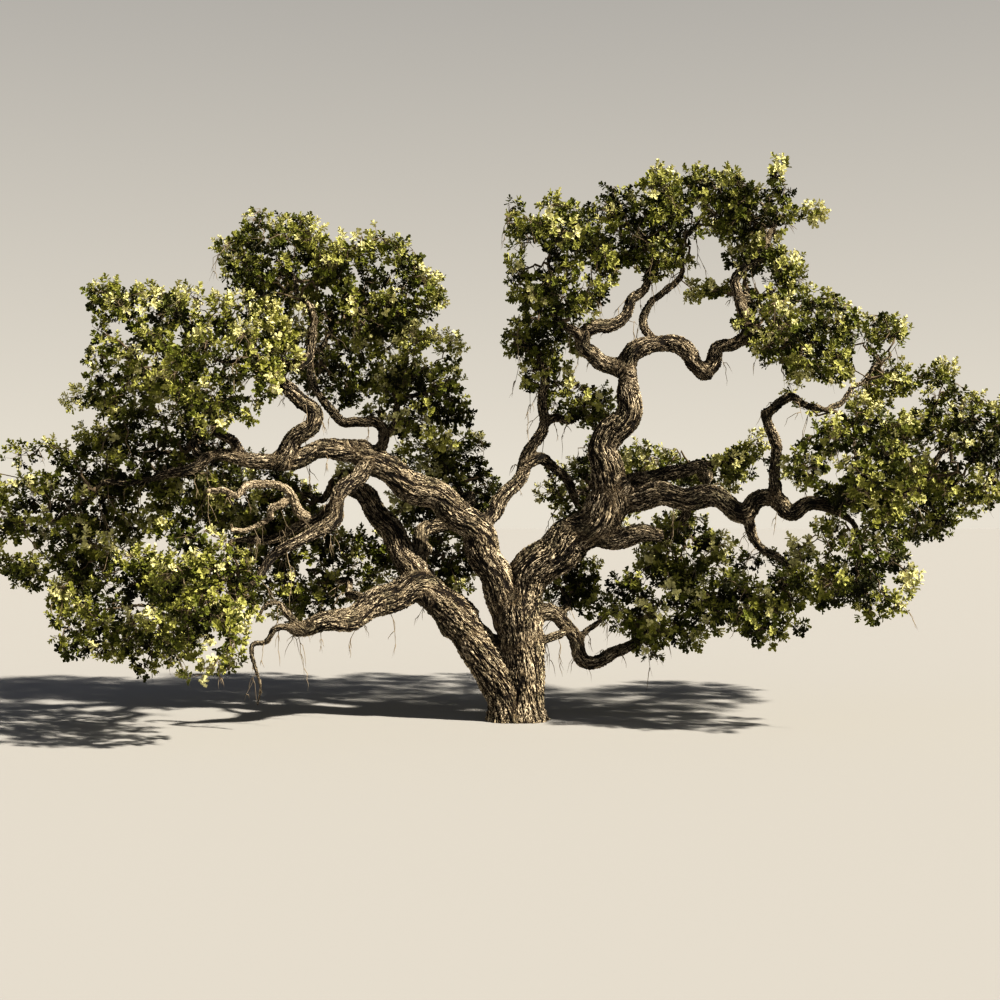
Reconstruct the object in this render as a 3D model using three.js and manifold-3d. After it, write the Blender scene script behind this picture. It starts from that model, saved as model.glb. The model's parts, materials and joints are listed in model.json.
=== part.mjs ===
// An old oak on open grassland: a short trunk of two fused stems, crooked spreading boughs and a broad crown
// with wide gaps. Millimetres, +Z up, ground at Z = 0. From its open side, +X is to the right and +Y away.
import * as THREE from "three";
import { mergeVertices } from "three/addons/utils/BufferGeometryUtils.js";
import Module from "manifold-3d";

const wasm = await Module();
wasm.setup();

const metre = 1000;
const gap = 0.3; // between two pieces that touch, in millimetres
const sliver = 0.05;

// The crown is laid out as it is seen from the eye: x and z are measured at the trunk's distance, and a point
// in front of the trunk or behind it lies on the same line of sight.
const eye = { x: -0.36, z: 4.4, distance: 30 };

const barkColour = 0x6b5a48;
const deadWoodColour = 0x9a8b78;
const leafColour = 0x6f7f35;

// The trunk is two stems that have grown together, and flares towards the ground in blunt ridges.
const trunk = {
  stems: [
    {
      path: [[-0.14, 0, -0.3], [-0.25, 0, 0.5], [-0.5, 0, 1.0], [-0.82, 0, 1.5], [-1.15, 0, 1.95]],
      radii: [0.44, 0.36],
    },
    { path: [[0.12, 0, -0.3], [0.1, 0.02, 0.6], [0.1, 0.02, 1.4], [-0.02, 0, 2.05]], radii: [0.45, 0.42] },
  ],
  sides: 12, steps: 7, flareHeight: 0.45, flare: 0.07, ridges: 5, ridgeDepth: 0.5,
};

// A limb swells where it springs from its parent. It has so many steps to each bend.
const limbForm = { collar: 0.12, collarLength: 0.08, stepsPerBend: 1.2, sideLimbSides: 5 };

// Each bough is one tapering limb: where it springs from, its bends in metres, and its radius at the root and
// at the tip. A side limb is a dead or broken end that is one piece of wood with its bough.
const boughs = {
  bough_left_low: {
    from: "trunk", radii: [0.37, 0.1], ease: 0.6, sides: 9,
    path: [[-1.15, 0, 1.95], [-1.58, -0.1, 2.42], [-2.05, -0.2, 2.65], [-2.5, -0.4, 2.5], [-3.0, -0.7, 2.2],
      [-3.6, -1.1, 2.0], [-4.5, -1.4, 1.8]],
    sideLimbs: [
      {
        path: [[-4.35, -1.4, 1.83], [-4.6, -1.4, 2.1], [-4.75, -1.4, 2.33], [-5.0, -1.45, 2.33],
          [-5.2, -1.5, 2.0]],
        radii: [0.08, 0.03],
      },
      {
        path: [[-4.4, -1.4, 1.82], [-4.85, -1.5, 1.83], [-5.05, -1.5, 1.57], [-5.3, -1.5, 1.5],
          [-5.25, -1.5, 1.0], [-5.15, -1.5, 0.65], [-5.2, -1.5, 0.3]],
        radii: [0.075, 0.018],
      },
    ],
  },
  bough_left_rise: {
    from: "bough_left_low", radii: [0.28, 0.16], ease: 0.9, sides: 8,
    path: [[-1.95, -0.15, 2.6], [-2.15, 0, 3.1], [-2.5, 0.1, 3.65], [-2.78, 0.3, 4.15], [-3.15, 0.6, 4.55],
      [-3.45, 1.25, 4.82]],
  },
  bough_left_back: {
    from: "bough_left_low", radii: [0.19, 0.1], ease: 1, sides: 7,
    path: [[-1.75, 0, 2.6], [-2.0, 0.4, 3.3], [-1.9, 0.8, 3.72], [-1.5, 1.2, 3.95], [-1.1, 1.9, 4.2],
      [-0.9, 2.7, 4.5]],
  },
  bough_left_high: {
    from: "trunk", radii: [0.35, 0.27], ease: 1, sides: 9,
    path: [[-0.1, 0, 1.95], [-0.38, -0.05, 2.7], [-0.65, -0.1, 3.3], [-0.85, -0.1, 3.75],
      [-1.25, -0.2, 4.2], [-2.3, -0.4, 4.8], [-3.15, -0.6, 5.38]],
  },
  bough_left_reach: {
    from: "bough_left_high", radii: [0.22, 0.07], ease: 0.9, sides: 7,
    path: [[-3.1, -0.6, 5.35], [-3.6, -0.7, 5.43], [-4.3, -0.9, 5.28], [-4.9, -1.0, 5.12],
      [-5.5, -1.1, 5.25], [-6.1, -1.2, 5.25], [-6.7, -1.4, 4.98], [-7.4, -1.6, 4.8]],
  },
  bough_left_crook: {
    from: "bough_left_reach", radii: [0.2, 0.085], ease: 1.4, sides: 7,
    path: [[-4.75, -0.97, 5.15], [-4.45, -1.0, 5.6], [-4.12, -1.0, 5.95], [-4.08, -1.0, 6.2],
      [-4.35, -1.1, 6.42], [-4.72, -1.2, 6.7], [-4.85, -1.25, 6.98], [-4.3, -1.15, 7.15],
      [-4.12, -1.0, 7.55], [-4.05, -1.0, 8.0]],
  },
  bough_left_hook: {
    from: "bough_left_high", radii: [0.12, 0.06], ease: 1, sides: 7,
    path: [[-2.85, -0.5, 5.15], [-2.7, -0.3, 5.7], [-2.85, -0.3, 5.97], [-3.2, -0.25, 5.98],
      [-3.5, -0.2, 5.93], [-3.8, -0.1, 6.3], [-4.1, 0.1, 6.68], [-4.15, 0.7, 7.3]],
  },
  bough_left_drop: {
    from: "bough_left_high", radii: [0.18, 0.05], ease: 0.8, sides: 7,
    path: [[-2.95, -0.55, 5.2], [-3.3, -0.9, 4.78], [-3.6, -1.2, 4.4], [-3.72, -1.4, 4.02],
      [-4.0, -1.6, 3.75], [-4.6, -1.9, 3.5], [-4.95, -2.0, 3.2], [-5.35, -2.2, 2.7], [-5.75, -2.35, 2.35]],
  },
  bough_left_under: {
    from: "bough_left_drop", radii: [0.12, 0.07], ease: 1, sides: 7,
    path: [[-3.62, -1.25, 4.3], [-4.1, -1.0, 4.0], [-4.65, -0.9, 3.72], [-5.2, -0.9, 3.6],
      [-5.75, -1.0, 3.55]],
  },
  bough_left_pale: {
    from: "bough_left_under", radii: [0.09, 0.045], ease: 1, sides: 6, dead: true,
    path: [[-4.15, -0.98, 3.98], [-4.4, -1.15, 4.32], [-4.7, -1.3, 4.58], [-5.15, -1.4, 4.75],
      [-5.45, -1.45, 4.68], [-5.6, -1.5, 4.48], [-5.9, -1.5, 4.62], [-6.2, -1.5, 4.58]],
    sideLimbs: [
      {
        path: [[-4.55, -1.22, 4.45], [-4.95, -1.35, 4.25], [-4.93, -1.35, 4.02], [-5.2, -1.4, 3.87],
          [-5.7, -1.5, 3.82]],
        radii: [0.075, 0.04],
      },
    ],
  },
  bough_centre: {
    from: "bough_left_high", radii: [0.17, 0.06], ease: 0.9, sides: 7,
    path: [[-0.85, -0.08, 3.78], [-0.4, 0.2, 4.28], [-0.05, 0.3, 4.75], [0.15, 0.4, 5.15], [0.36, 0.4, 5.6],
      [0.52, 0.4, 5.98], [0.5, 0.4, 6.5], [0.5, 0.4, 7.1], [0.3, 0.4, 7.5], [-0.1, 0.4, 7.7]],
  },
  bough_centre_arch: {
    from: "bough_centre", radii: [0.12, 0.08], ease: 1, sides: 6,
    path: [[0.12, 0.38, 5.1], [0.42, 0.5, 5.2], [0.72, 0.8, 5.08], [1.0, 1.2, 4.75], [1.15, 1.7, 4.35]],
  },
  bough_right: {
    from: "trunk", radii: [0.43, 0.41], ease: 1, sides: 10,
    path: [[0.0, 0, 1.95], [0.1, 0, 2.65], [0.5, 0, 3.15], [1.05, -0.1, 3.58], [1.6, -0.18, 4.0],
      [1.95, -0.2, 4.5]],
    sideLimbs: [
      {
        path: [[1.35, -0.2, 3.85], [1.8, -0.3, 3.68], [2.2, -0.38, 3.66], [2.5, -0.42, 3.7],
          [2.8, -0.45, 3.72]],
        radii: [0.3, 0.14],
      },
    ],
  },
  bough_right_rise: {
    from: "bough_right", radii: [0.36, 0.17], ease: 0.75, sides: 9,
    path: [[1.92, -0.2, 4.45], [1.82, -0.2, 4.95], [1.65, -0.2, 5.35], [1.88, -0.2, 5.72],
      [2.18, -0.2, 6.1], [2.25, -0.2, 6.5], [2.2, -0.2, 6.85], [2.12, -0.2, 7.1]],
  },
  bough_right_arch: {
    from: "bough_right_rise", radii: [0.195, 0.155], ease: 1, sides: 8,
    path: [[2.12, -0.2, 7.0], [2.36, -0.2, 7.36], [2.65, -0.2, 7.54], [3.05, -0.2, 7.52], [3.4, -0.2, 7.35],
      [3.6, -0.2, 7.08], [3.72, -0.2, 6.93]],
  },
  bough_right_swing: {
    from: "bough_right_arch", radii: [0.15, 0.075], ease: 1, sides: 7,
    path: [[3.7, -0.2, 6.92], [3.9, -0.2, 7.15], [4.02, -0.2, 7.42], [4.3, -0.2, 7.52], [4.58, -0.2, 7.8],
      [4.6, -0.2, 8.1], [4.42, -0.2, 8.4], [4.32, -0.2, 8.78], [4.6, -0.1, 9.05], [4.86, 0, 9.32],
      [5.05, 0.1, 9.7]],
  },
  bough_right_crown: {
    from: "bough_right_rise", radii: [0.18, 0.07], ease: 0.9, sides: 7,
    path: [[2.15, -0.2, 7.0], [1.85, -0.2, 7.1], [1.55, -0.3, 7.27], [1.22, -0.4, 7.5], [1.38, -0.5, 7.75],
      [1.85, -0.5, 7.9], [2.15, -0.4, 8.12], [2.27, -0.3, 8.4], [2.55, -0.2, 8.65], [2.65, -0.1, 9.05]],
  },
  bough_right_fork: {
    from: "bough_right_arch", radii: [0.095, 0.05], ease: 1, sides: 6,
    path: [[2.75, -0.2, 7.5], [2.52, 0.0, 7.95], [2.62, 0.25, 8.3], [2.95, 0.4, 8.58], [3.25, 0.5, 8.9],
      [3.3, 0.5, 9.25]],
  },
  bough_right_reach: {
    from: "bough_right", radii: [0.27, 0.1], ease: 1.3, sides: 9,
    path: [[1.95, -0.22, 4.35], [2.7, -0.4, 4.5], [3.2, -0.5, 4.45], [3.8, -0.6, 4.46], [4.25, -0.7, 4.3],
      [4.52, -0.8, 4.16], [4.8, -0.8, 4.36], [5.2, -0.9, 4.4], [5.48, -0.9, 4.18], [5.85, -1.0, 4.3],
      [6.5, -0.9, 4.35], [7.2, -0.75, 4.48], [8.0, -0.6, 4.55]],
  },
  bough_right_post: {
    from: "bough_right_reach", radii: [0.12, 0.1], ease: 1, sides: 7,
    path: [[5.1, -0.87, 4.35], [5.16, -0.8, 5.0], [5.15, -0.8, 5.4], [5.04, -0.8, 5.85],
      [4.96, -0.8, 6.15]],
  },
  bough_right_shelf: {
    from: "bough_right_post", radii: [0.1, 0.055], ease: 1, sides: 6,
    path: [[4.97, -0.8, 6.1], [5.18, -0.8, 6.34], [5.45, -0.8, 6.45], [5.7, -0.8, 6.3], [6.0, -0.8, 6.26],
      [6.4, -0.8, 6.14]],
  },
  bough_right_drop: {
    from: "bough_right_reach", radii: [0.115, 0.05], ease: 1, sides: 7,
    path: [[4.52, -0.8, 4.12], [4.7, -0.9, 3.7], [4.92, -1.0, 3.4], [5.22, -1.1, 3.22], [5.6, -1.2, 2.85]],
  },
  bough_right_spur: {
    from: "bough_right_reach", radii: [0.1, 0.045], ease: 1, sides: 6,
    path: [[5.95, -1.0, 4.3], [6.45, -1.2, 4.15], [6.7, -1.3, 3.95], [6.8, -1.4, 3.65]],
  },
  bough_right_back: {
    from: "bough_right", radii: [0.17, 0.09], ease: 1, sides: 7,
    path: [[1.95, 0, 4.5], [2.45, 0.3, 4.86], [2.95, 0.45, 4.88], [3.35, 0.6, 5.02], [3.62, 0.8, 5.08],
      [3.74, 1.2, 4.86], [3.8, 2.2, 4.9]],
  },
  bough_low: {
    from: "trunk", radii: [0.17, 0.1], ease: 1, sides: 7,
    path: [[0.2, 0.05, 2.05], [0.72, 0.1, 2.14], [1.0, 0.1, 1.9], [1.15, 0.1, 1.5], [1.3, 0.1, 1.22],
      [1.62, 0.1, 1.2], [2.0, 0.2, 1.35], [2.38, 0.3, 1.62], [2.6, 0.4, 2.0]],
    sideLimbs: [
      {
        path: [[1.32, 0.1, 1.24], [1.3, 0.1, 1.7], [1.55, 0.1, 1.93], [1.76, 0.1, 2.1]],
        radii: [0.075, 0.05],
      },
      {
        path: [[0.3, 0.05, 1.52], [0.6, 0.02, 1.6], [0.85, 0.05, 1.74], [1.02, 0.1, 1.85]],
        radii: [0.085, 0.085],
      },
    ],
  },
};

// Each mass of foliage fills its own rounded space: the middle of that space, its half width, half depth and
// half height, the bough that carries it, and the bends of the stem that leads in from that bough.
const masses = {
  foliage_left_far: {
    at: [-9.26, -0.6, 4.0], half: [1.35, 1.9, 1.5], from: "bough_left_reach",
    stem: [[-7.35, -1.6, 4.81], [-8.1, -1.4, 4.75]],
  },
  foliage_left_skirt: {
    at: [-7.8, -1.2, 2.3], half: [1.7, 1.9, 1.4], from: "bough_left_drop",
    stem: [[-5.7, -2.33, 2.4], [-6.4, -1.9, 2.1]],
  },
  foliage_left_skirt_front: {
    at: [-6.3, -3.3, 2.35], half: [1.15, 1.7, 1.45], from: "bough_left_drop",
    stem: [[-5.35, -2.2, 2.72], [-5.8, -2.7, 2.75]],
  },
  foliage_left_mid: {
    at: [-7.36, 0.4, 5.2], half: [1.8, 1.9, 1.15], from: "bough_left_reach",
    stem: [[-6.1, -1.2, 5.25], [-6.5, -0.6, 5.45]],
  },
  foliage_left_upper: {
    at: [-7.85, 0, 7.45], half: [1.55, 2.0, 1.35], from: "bough_left_reach",
    stem: [[-5.5, -1.1, 5.25], [-6.2, -0.8, 6.1], [-7.0, -0.4, 6.7]],
  },
  foliage_left_front: {
    at: [-6.06, -2.5, 7.2], half: [1.3, 1.9, 1.5], from: "bough_left_crook",
    stem: [[-4.74, -1.22, 6.88], [-5.3, -1.7, 7.1]],
  },
  foliage_left_top: {
    at: [-4.75, 0, 9.2], half: [1.3, 2.0, 1.15], from: "bough_left_crook",
    stem: [[-4.06, -1.0, 7.97], [-4.4, -0.6, 8.6]],
  },
  foliage_left_top_right: {
    at: [-2.7, 0.3, 8.55], half: [1.3, 1.9, 1.2], from: "bough_left_hook",
    stem: [[-4.15, 0.7, 7.28], [-3.5, 0.6, 7.95]],
  },
  foliage_left_inner: {
    at: [-3.5, 2.0, 7.3], half: [1.25, 1.6, 1.15], from: "bough_left_hook",
    stem: [[-4.12, 0.5, 7.05], [-3.9, 1.3, 7.2]],
  },
  foliage_left_shoulder: {
    at: [-1.76, 0.6, 6.65], half: [1.2, 1.8, 1.35], from: "bough_left_hook",
    stem: [[-2.7, -0.3, 5.65], [-2.3, 0.2, 6.35]],
  },
  foliage_left_low: {
    at: [-4.25, 1.7, 3.05], half: [1.75, 1.7, 1.05], from: "bough_left_low",
    stem: [[-3.1, -0.78, 2.17], [-3.4, 0.4, 2.7]],
  },
  foliage_left_back: {
    at: [-5.2, 2.9, 4.35], half: [1.6, 2.1, 1.0], from: "bough_left_rise",
    stem: [[-3.43, 1.22, 4.81], [-3.9, 1.9, 4.5]],
  },
  foliage_centre_back: {
    at: [-1.46, 4.0, 4.7], half: [1.2, 1.9, 1.2], from: "bough_left_back",
    stem: [[-0.92, 2.65, 4.49], [-1.2, 3.3, 4.65]],
  },
  foliage_centre_low: {
    at: [-1.56, 2.6, 3.1], half: [0.9, 1.4, 0.7], from: "bough_left_back",
    stem: [[-1.93, 0.6, 3.55], [-1.75, 1.7, 3.3]],
  },
  foliage_centre_right_back: {
    at: [1.54, 3.7, 4.7], half: [1.0, 1.8, 0.95], from: "bough_centre_arch",
    stem: [[1.14, 1.67, 4.38], [1.35, 2.7, 4.6]],
  },
  foliage_right_top_left: {
    at: [0.64, -0.9, 9.2], half: [1.25, 1.9, 1.5], from: "bough_right_crown",
    stem: [[1.25, -0.43, 7.55], [0.8, -0.8, 8.1]],
  },
  foliage_right_top_mid: {
    at: [2.4, 0.1, 9.85], half: [1.2, 1.9, 1.25], from: "bough_right_crown",
    stem: [[2.65, -0.1, 9.02], [2.6, 0, 9.5]],
  },
  foliage_right_top: {
    at: [3.8, 0.9, 10.25], half: [0.95, 1.8, 1.0], from: "bough_right_fork",
    stem: [[3.3, 0.5, 9.22], [3.4, 0.7, 9.7]],
  },
  foliage_right_top_edge: {
    at: [4.85, 0.1, 10.35], half: [0.8, 1.6, 0.95], from: "bough_right_swing",
    stem: [[5.04, 0.1, 9.67], [5.1, 0.1, 10.0]],
  },
  foliage_right_edge_low: {
    at: [0.45, 0.9, 7.3], half: [0.62, 1.3, 0.95], from: "bough_centre",
    stem: [[-0.07, 0.4, 7.69], [0.1, 0.75, 7.6]],
  },
  foliage_right_centre: {
    at: [1.44, 0.9, 6.36], half: [0.65, 1.2, 0.75], from: "bough_centre",
    stem: [[0.52, 0.4, 5.96], [0.95, 0.6, 5.98]],
  },
  foliage_right_inner: {
    at: [4.7, 0.9, 8.6], half: [1.05, 1.5, 1.0], from: "bough_right_swing",
    stem: [[4.42, -0.2, 8.42], [4.6, 0.2, 8.5]],
  },
  foliage_right_shoulder: {
    at: [5.75, -0.8, 7.6], half: [1.1, 1.8, 1.0], from: "bough_right_swing",
    stem: [[4.45, -0.2, 7.62], [5.1, -0.5, 7.65]],
  },
  foliage_right_knob: {
    at: [7.42, 0.8, 7.3], half: [0.82, 1.5, 0.95], from: "bough_right_shelf",
    stem: [[6.2, -0.8, 6.2], [6.7, -0.2, 6.6], [7.1, 0.3, 7.0]],
  },
  foliage_right_mid: {
    at: [6.75, -1.6, 5.3], half: [1.4, 1.9, 1.15], from: "bough_right_shelf",
    stem: [[6.38, -0.8, 6.15], [6.6, -1.1, 5.9]],
  },
  foliage_right_far: {
    at: [8.85, 0.2, 5.55], half: [1.5, 2.0, 1.4], from: "bough_right_reach",
    stem: [[7.97, -0.6, 4.55], [8.3, -0.3, 5.1]],
  },
  foliage_right_far_back: {
    at: [7.8, 2.4, 4.4], half: [1.35, 1.8, 0.95], from: "bough_right_reach",
    stem: [[7.15, -0.76, 4.47], [7.4, 0.8, 4.45]],
  },
  foliage_right_back: {
    at: [3.74, 3.9, 5.25], half: [1.4, 2.0, 0.75], from: "bough_right_back",
    stem: [[3.8, 2.17, 4.9], [3.85, 2.9, 5.05]],
  },
  foliage_right_under: {
    at: [3.34, 1.2, 3.5], half: [1.0, 1.5, 0.7], from: "bough_right_reach",
    stem: [[3.25, -0.5, 4.4], [3.3, 0.2, 3.95]],
  },
  foliage_right_skirt: {
    at: [6.78, -1.5, 3.04], half: [1.25, 1.7, 1.1], from: "bough_right_spur",
    stem: [[6.79, -1.4, 3.68], [6.8, -1.45, 3.35]],
  },
  foliage_right_skirt_mid: {
    at: [4.6, -1.0, 2.4], half: [1.15, 1.7, 0.9], from: "bough_right_drop",
    stem: [[5.58, -1.2, 2.87], [5.2, -1.1, 2.6]],
  },
  foliage_right_low: {
    at: [2.9, 0.7, 2.35], half: [1.15, 1.7, 1.1], from: "bough_low",
    stem: [[2.59, 0.4, 1.97], [2.72, 0.5, 2.15]],
  },
  foliage_low_inner: {
    at: [1.2, 1.4, 2.68], half: [0.7, 1.2, 0.58], from: "bough_low",
    stem: [[0.75, 0.1, 2.12], [0.95, 0.6, 2.4]],
  },
};
const foliage = {
  stemRadii: [0.055, 0.035], twigRadius: 0.024, // metres
  stemSides: 3, stemJoints: [0.45, 0.6, 0.75, 0.9], // shares of the stem's length
  twigTaper: 0.7, forkRadius: 0.45, forkAt: 0.55, // shares of the twig
  density: 6.5, rounds: 4, seedStep: 101, firstSeed: 9,
  innermost: 0.66, spread: 0.24, margin: 0.015, pullIn: 0.1, // shares of the mass's own space
};
const leaf = {
  length: 1.25, shortest: 0.5, // metres
  shareOfMass: 0.85, shrink: 0.95, variety: 0.2, // how long a blade is for its mass, and how that varies
  width: 1.05, widestAt: 0.5, thickness: 0.03, // shares of the blade's length
  lift: 0.5, hug: 0.6, tilt: 1.5, // how far a blade lifts, hugs its mass and tilts
};
const goldenAngle = Math.PI * (3 - Math.sqrt(5));

function seen([x, depth, z]) {
  const reach = 1 + depth / eye.distance;
  const point = new THREE.Vector3(eye.x + (x - eye.x) * reach, depth, eye.z + (z - eye.z) * reach);
  return point.multiplyScalar(metre);
}

function curveOf(path) {
  return new THREE.CatmullRomCurve3(path.map(seen), false, "centripetal");
}

function solidOf(geometry) {
  geometry.deleteAttribute("normal");
  geometry.deleteAttribute("uv");
  const merged = mergeVertices(geometry, 1e-3);
  const vertProperties = merged.attributes.position.array;
  const triVerts = new Uint32Array(merged.index.array);
  return new wasm.Manifold(new wasm.Mesh({ numProp: 3, vertProperties, triVerts }));
}

function geometryOf(solid) {
  const mesh = solid.getMesh();
  const geometry = new THREE.BufferGeometry();
  geometry.setAttribute("position", new THREE.BufferAttribute(new Float32Array(mesh.vertProperties), 3));
  geometry.setIndex(new THREE.BufferAttribute(new Uint32Array(mesh.triVerts), 1));
  geometry.computeVertexNormals();
  return geometry;
}

// The largest body of a joined or cut solid, without the slivers that a cut leaves along its edges.
function largestOf(solid) {
  return solid.decompose().sort((a, b) => b.volume() - a.volume())[0].simplify(sliver);
}

// A closed cylinder bent along a curve, with its radius given at each share of the way, angle round it and
// spot. Where it is grown, its two ends stand out by as much as its sides.
function bentCylinder(curve, radiusAt, sides, steps, grown = 0) {
  const cylinder = new THREE.CylinderGeometry(1, 1, 1, sides, steps);
  const { tangents, normals, binormals } = curve.computeFrenetFrames(steps);
  const spots = Array.from({ length: steps + 1 }, (_, i) => curve.getPointAt(i / steps));
  spots[0].addScaledVector(tangents[0], -grown);
  spots[steps].addScaledVector(tangents[steps], grown);
  const place = cylinder.attributes.position;
  for (let i = 0; i < place.count; i++) {
    const step = Math.round((place.getY(i) + 0.5) * steps);
    const across = new THREE.Vector2(place.getX(i), place.getZ(i));
    const radius = across.length() * (radiusAt(step / steps, across.angle(), spots[step]) + grown);
    across.normalize().multiplyScalar(radius);
    const point = spots[step].clone().addScaledVector(normals[step], across.x);
    point.addScaledVector(binormals[step], -across.y);
    place.setXYZ(i, point.x, point.y, point.z);
  }
  return solidOf(cylinder);
}

function limbRadius([root, tip], ease, share) {
  const collar = 1 + limbForm.collar * Math.exp(-share / limbForm.collarLength);
  return (tip + (root - tip) * Math.pow(1 - share, ease)) * collar * metre;
}

function limbSolid({ path, radii, ease = 1, sides = limbForm.sideLimbSides }, grown = 0) {
  const steps = Math.round((path.length - 1) * limbForm.stepsPerBend);
  return bentCylinder(curveOf(path), (share) => limbRadius(radii, ease, share), sides, steps, grown);
}

function boughSolid(bough, grown = 0) {
  return wasm.Manifold.union([bough, ...(bough.sideLimbs ?? [])].map((limb) => limbSolid(limb, grown)));
}

function trunkSolid(grown = 0) {
  const flareAt = (angle, height) => {
    const share = Math.max(0, 1 - height / (trunk.flareHeight * metre));
    return 1 + trunk.flare * share * share * (1 + trunk.ridgeDepth * Math.cos(trunk.ridges * angle));
  };
  const stems = trunk.stems.map(({ path, radii }) => {
    const radiusAt = (share, angle, spot) => limbRadius(radii, 1, share) * flareAt(angle, spot.z);
    return bentCylinder(curveOf(path), radiusAt, trunk.sides, trunk.steps, grown);
  });
  const belowGround = solidOf(new THREE.BoxGeometry(3 * metre, 3 * metre, metre).translate(0, 0, -metre / 2));
  return wasm.Manifold.union(stems).subtract(belowGround);
}

const group = new THREE.Group();
const finish = (color, roughness) => new THREE.MeshStandardMaterial({ color, roughness, metalness: 0 });
const barkMaterial = finish(barkColour, 0.95);
const deadWoodMaterial = finish(deadWoodColour, 0.9);
const leafMaterial = finish(leafColour, 0.7);

function addPiece(name, solid, material, springsFrom) {
  const mesh = new THREE.Mesh(geometryOf(solid), material);
  mesh.name = name;
  mesh.userData.springsFrom = springsFrom;
  group.add(mesh);
}

// Each bough is cut clear of the trunk and of the boughs before it.
addPiece("trunk", trunkSolid(), barkMaterial, "ground");
let grownWood = trunkSolid(gap);
for (const [name, bough] of Object.entries(boughs)) {
  const wood = largestOf(boughSolid(bough).subtract(grownWood));
  addPiece(name, wood, bough.dead ? deadWoodMaterial : barkMaterial, bough.from);
  grownWood = grownWood.add(boughSolid(bough, gap));
}

// A repeatable source of numbers from 0 to 1.
function seededRandom(seed) {
  let state = seed;
  return () => {
    state = (state + 0x6d2b79f5) | 0;
    let mixed = Math.imul(state ^ (state >>> 15), 1 | state);
    mixed = (mixed + Math.imul(mixed ^ (mixed >>> 7), 61 | mixed)) ^ mixed;
    return ((mixed ^ (mixed >>> 14)) >>> 0) / 4294967296;
  };
}

function aside(random) {
  return new THREE.Vector3(random() - 0.5, random() - 0.5, random() - 0.5);
}

const spaces = Object.entries(masses).map(([name, { at, half, from, stem }], order) => {
  const reach = 1 + at[1] / eye.distance;
  const stemLimb = { path: [...stem, at], radii: foliage.stemRadii, sides: foliage.stemSides };
  return {
    name, order, from, stemLimb, centre: seen(at),
    half: new THREE.Vector3(half[0] * reach, half[1], half[2] * reach).multiplyScalar(metre),
  };
});
const stems = spaces.map(({ stemLimb }) => largestOf(limbSolid(stemLimb).subtract(grownWood)));
const grownStems = spaces.map(({ stemLimb }) => limbSolid(stemLimb, gap));

// How far out a point lies in a space: 0 at its middle and 1 at its edge.
function depthIn(space, point) {
  return point.clone().sub(space.centre).divide(space.half).length();
}

// A point keeps to a space where it lies less far out in it than in any other.
function keepsTo(space, point) {
  const own = depthIn(space, point);
  return own < 1 && spaces.every((other) => other === space || depthIn(other, point) > own + foliage.margin);
}

// Three points round a spot: to the right, above and to the left of its heading.
function ringOf(spot, heading, right, halfWidth, height) {
  const above = new THREE.Vector3().crossVectors(right, heading).normalize();
  const across = new THREE.Vector3().crossVectors(heading, above);
  const at = (sideways, over) => spot.clone().addScaledVector(across, sideways).addScaledVector(above, over);
  return [at(halfWidth, -height / 2), at(0, height), at(-halfWidth, -height / 2)];
}

// A three-sided twig that broadens at its tip into one blade, which stands for a spray of leaves.
function twigPoints({ joint, radius, foot, blade, up, length }) {
  const along = foot.clone().sub(joint).normalize();
  const right = new THREE.Vector3().crossVectors(blade, up).normalize();
  const widest = foot.clone().addScaledVector(blade, leaf.widestAt * length);
  const neck = radius * foliage.twigTaper;
  return [
    ...ringOf(joint, along, right, radius, radius),
    ...ringOf(foot, along.add(blade).normalize(), right, neck, neck),
    ...ringOf(widest, blade, right, length * leaf.width / 2, length * leaf.thickness),
    foot.clone().addScaledVector(blade, length),
  ];
}

function twigSolid(points) {
  const faces = [0, 1, 2];
  for (const first of [0, 3]) {
    for (let side = 0; side < 3; side++) {
      const [near, nearNext] = [first + side, first + ((side + 1) % 3)];
      faces.push(near, near + 3, nearNext, nearNext, near + 3, nearNext + 3);
    }
  }
  for (let side = 0; side < 3; side++) faces.push(6 + side, 9, 6 + ((side + 1) % 3));
  const twig = new THREE.BufferGeometry().setFromPoints(points);
  twig.setIndex(faces);
  return solidOf(twig);
}

// The spots that a mass's leaves stand at lie evenly round its middle, nearest its stem first.
function spotsIn(space, count, random, root) {
  const spots = Array.from({ length: count }, (_, i) => {
    const rise = 1 - (2 * (i + 0.5)) / count;
    const turn = i * goldenAngle + random();
    const level = Math.sqrt(1 - rise * rise);
    const out = foliage.innermost + foliage.spread * random();
    const spot = new THREE.Vector3(level * Math.cos(turn), level * Math.sin(turn), rise);
    spot.multiplyScalar(out).multiply(space.half).add(space.centre);
    while (!keepsTo(space, spot)) spot.lerp(space.centre, foliage.pullIn);
    return spot;
  });
  return spots.sort((a, b) => a.distanceTo(root) - b.distanceTo(root));
}

// A blade lies along the rounded outside of its mass, a little tilted.
function layBlade(space, from, spot, length, random) {
  const outward = spot.clone().sub(space.centre).divide(space.half).divide(space.half).normalize();
  const heading = spot.clone().sub(from.spot).normalize();
  const blade = heading.addScaledVector(outward, -leaf.hug * heading.dot(outward));
  blade.add(aside(random)).add(new THREE.Vector3(0, 0, leaf.lift * random())).normalize();
  const up = outward.clone().addScaledVector(aside(random), leaf.tilt);
  const foot = spot.clone().addScaledVector(blade, -length / 2);
  return { joint: from.spot, radius: from.radius, foot, blade, up, length };
}

function nearestTo(spot, joints) {
  const reach = ({ spot: joint }) => joint.distanceTo(spot);
  return joints.reduce((best, next) => (reach(next) < reach(best) ? next : best));
}

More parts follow.
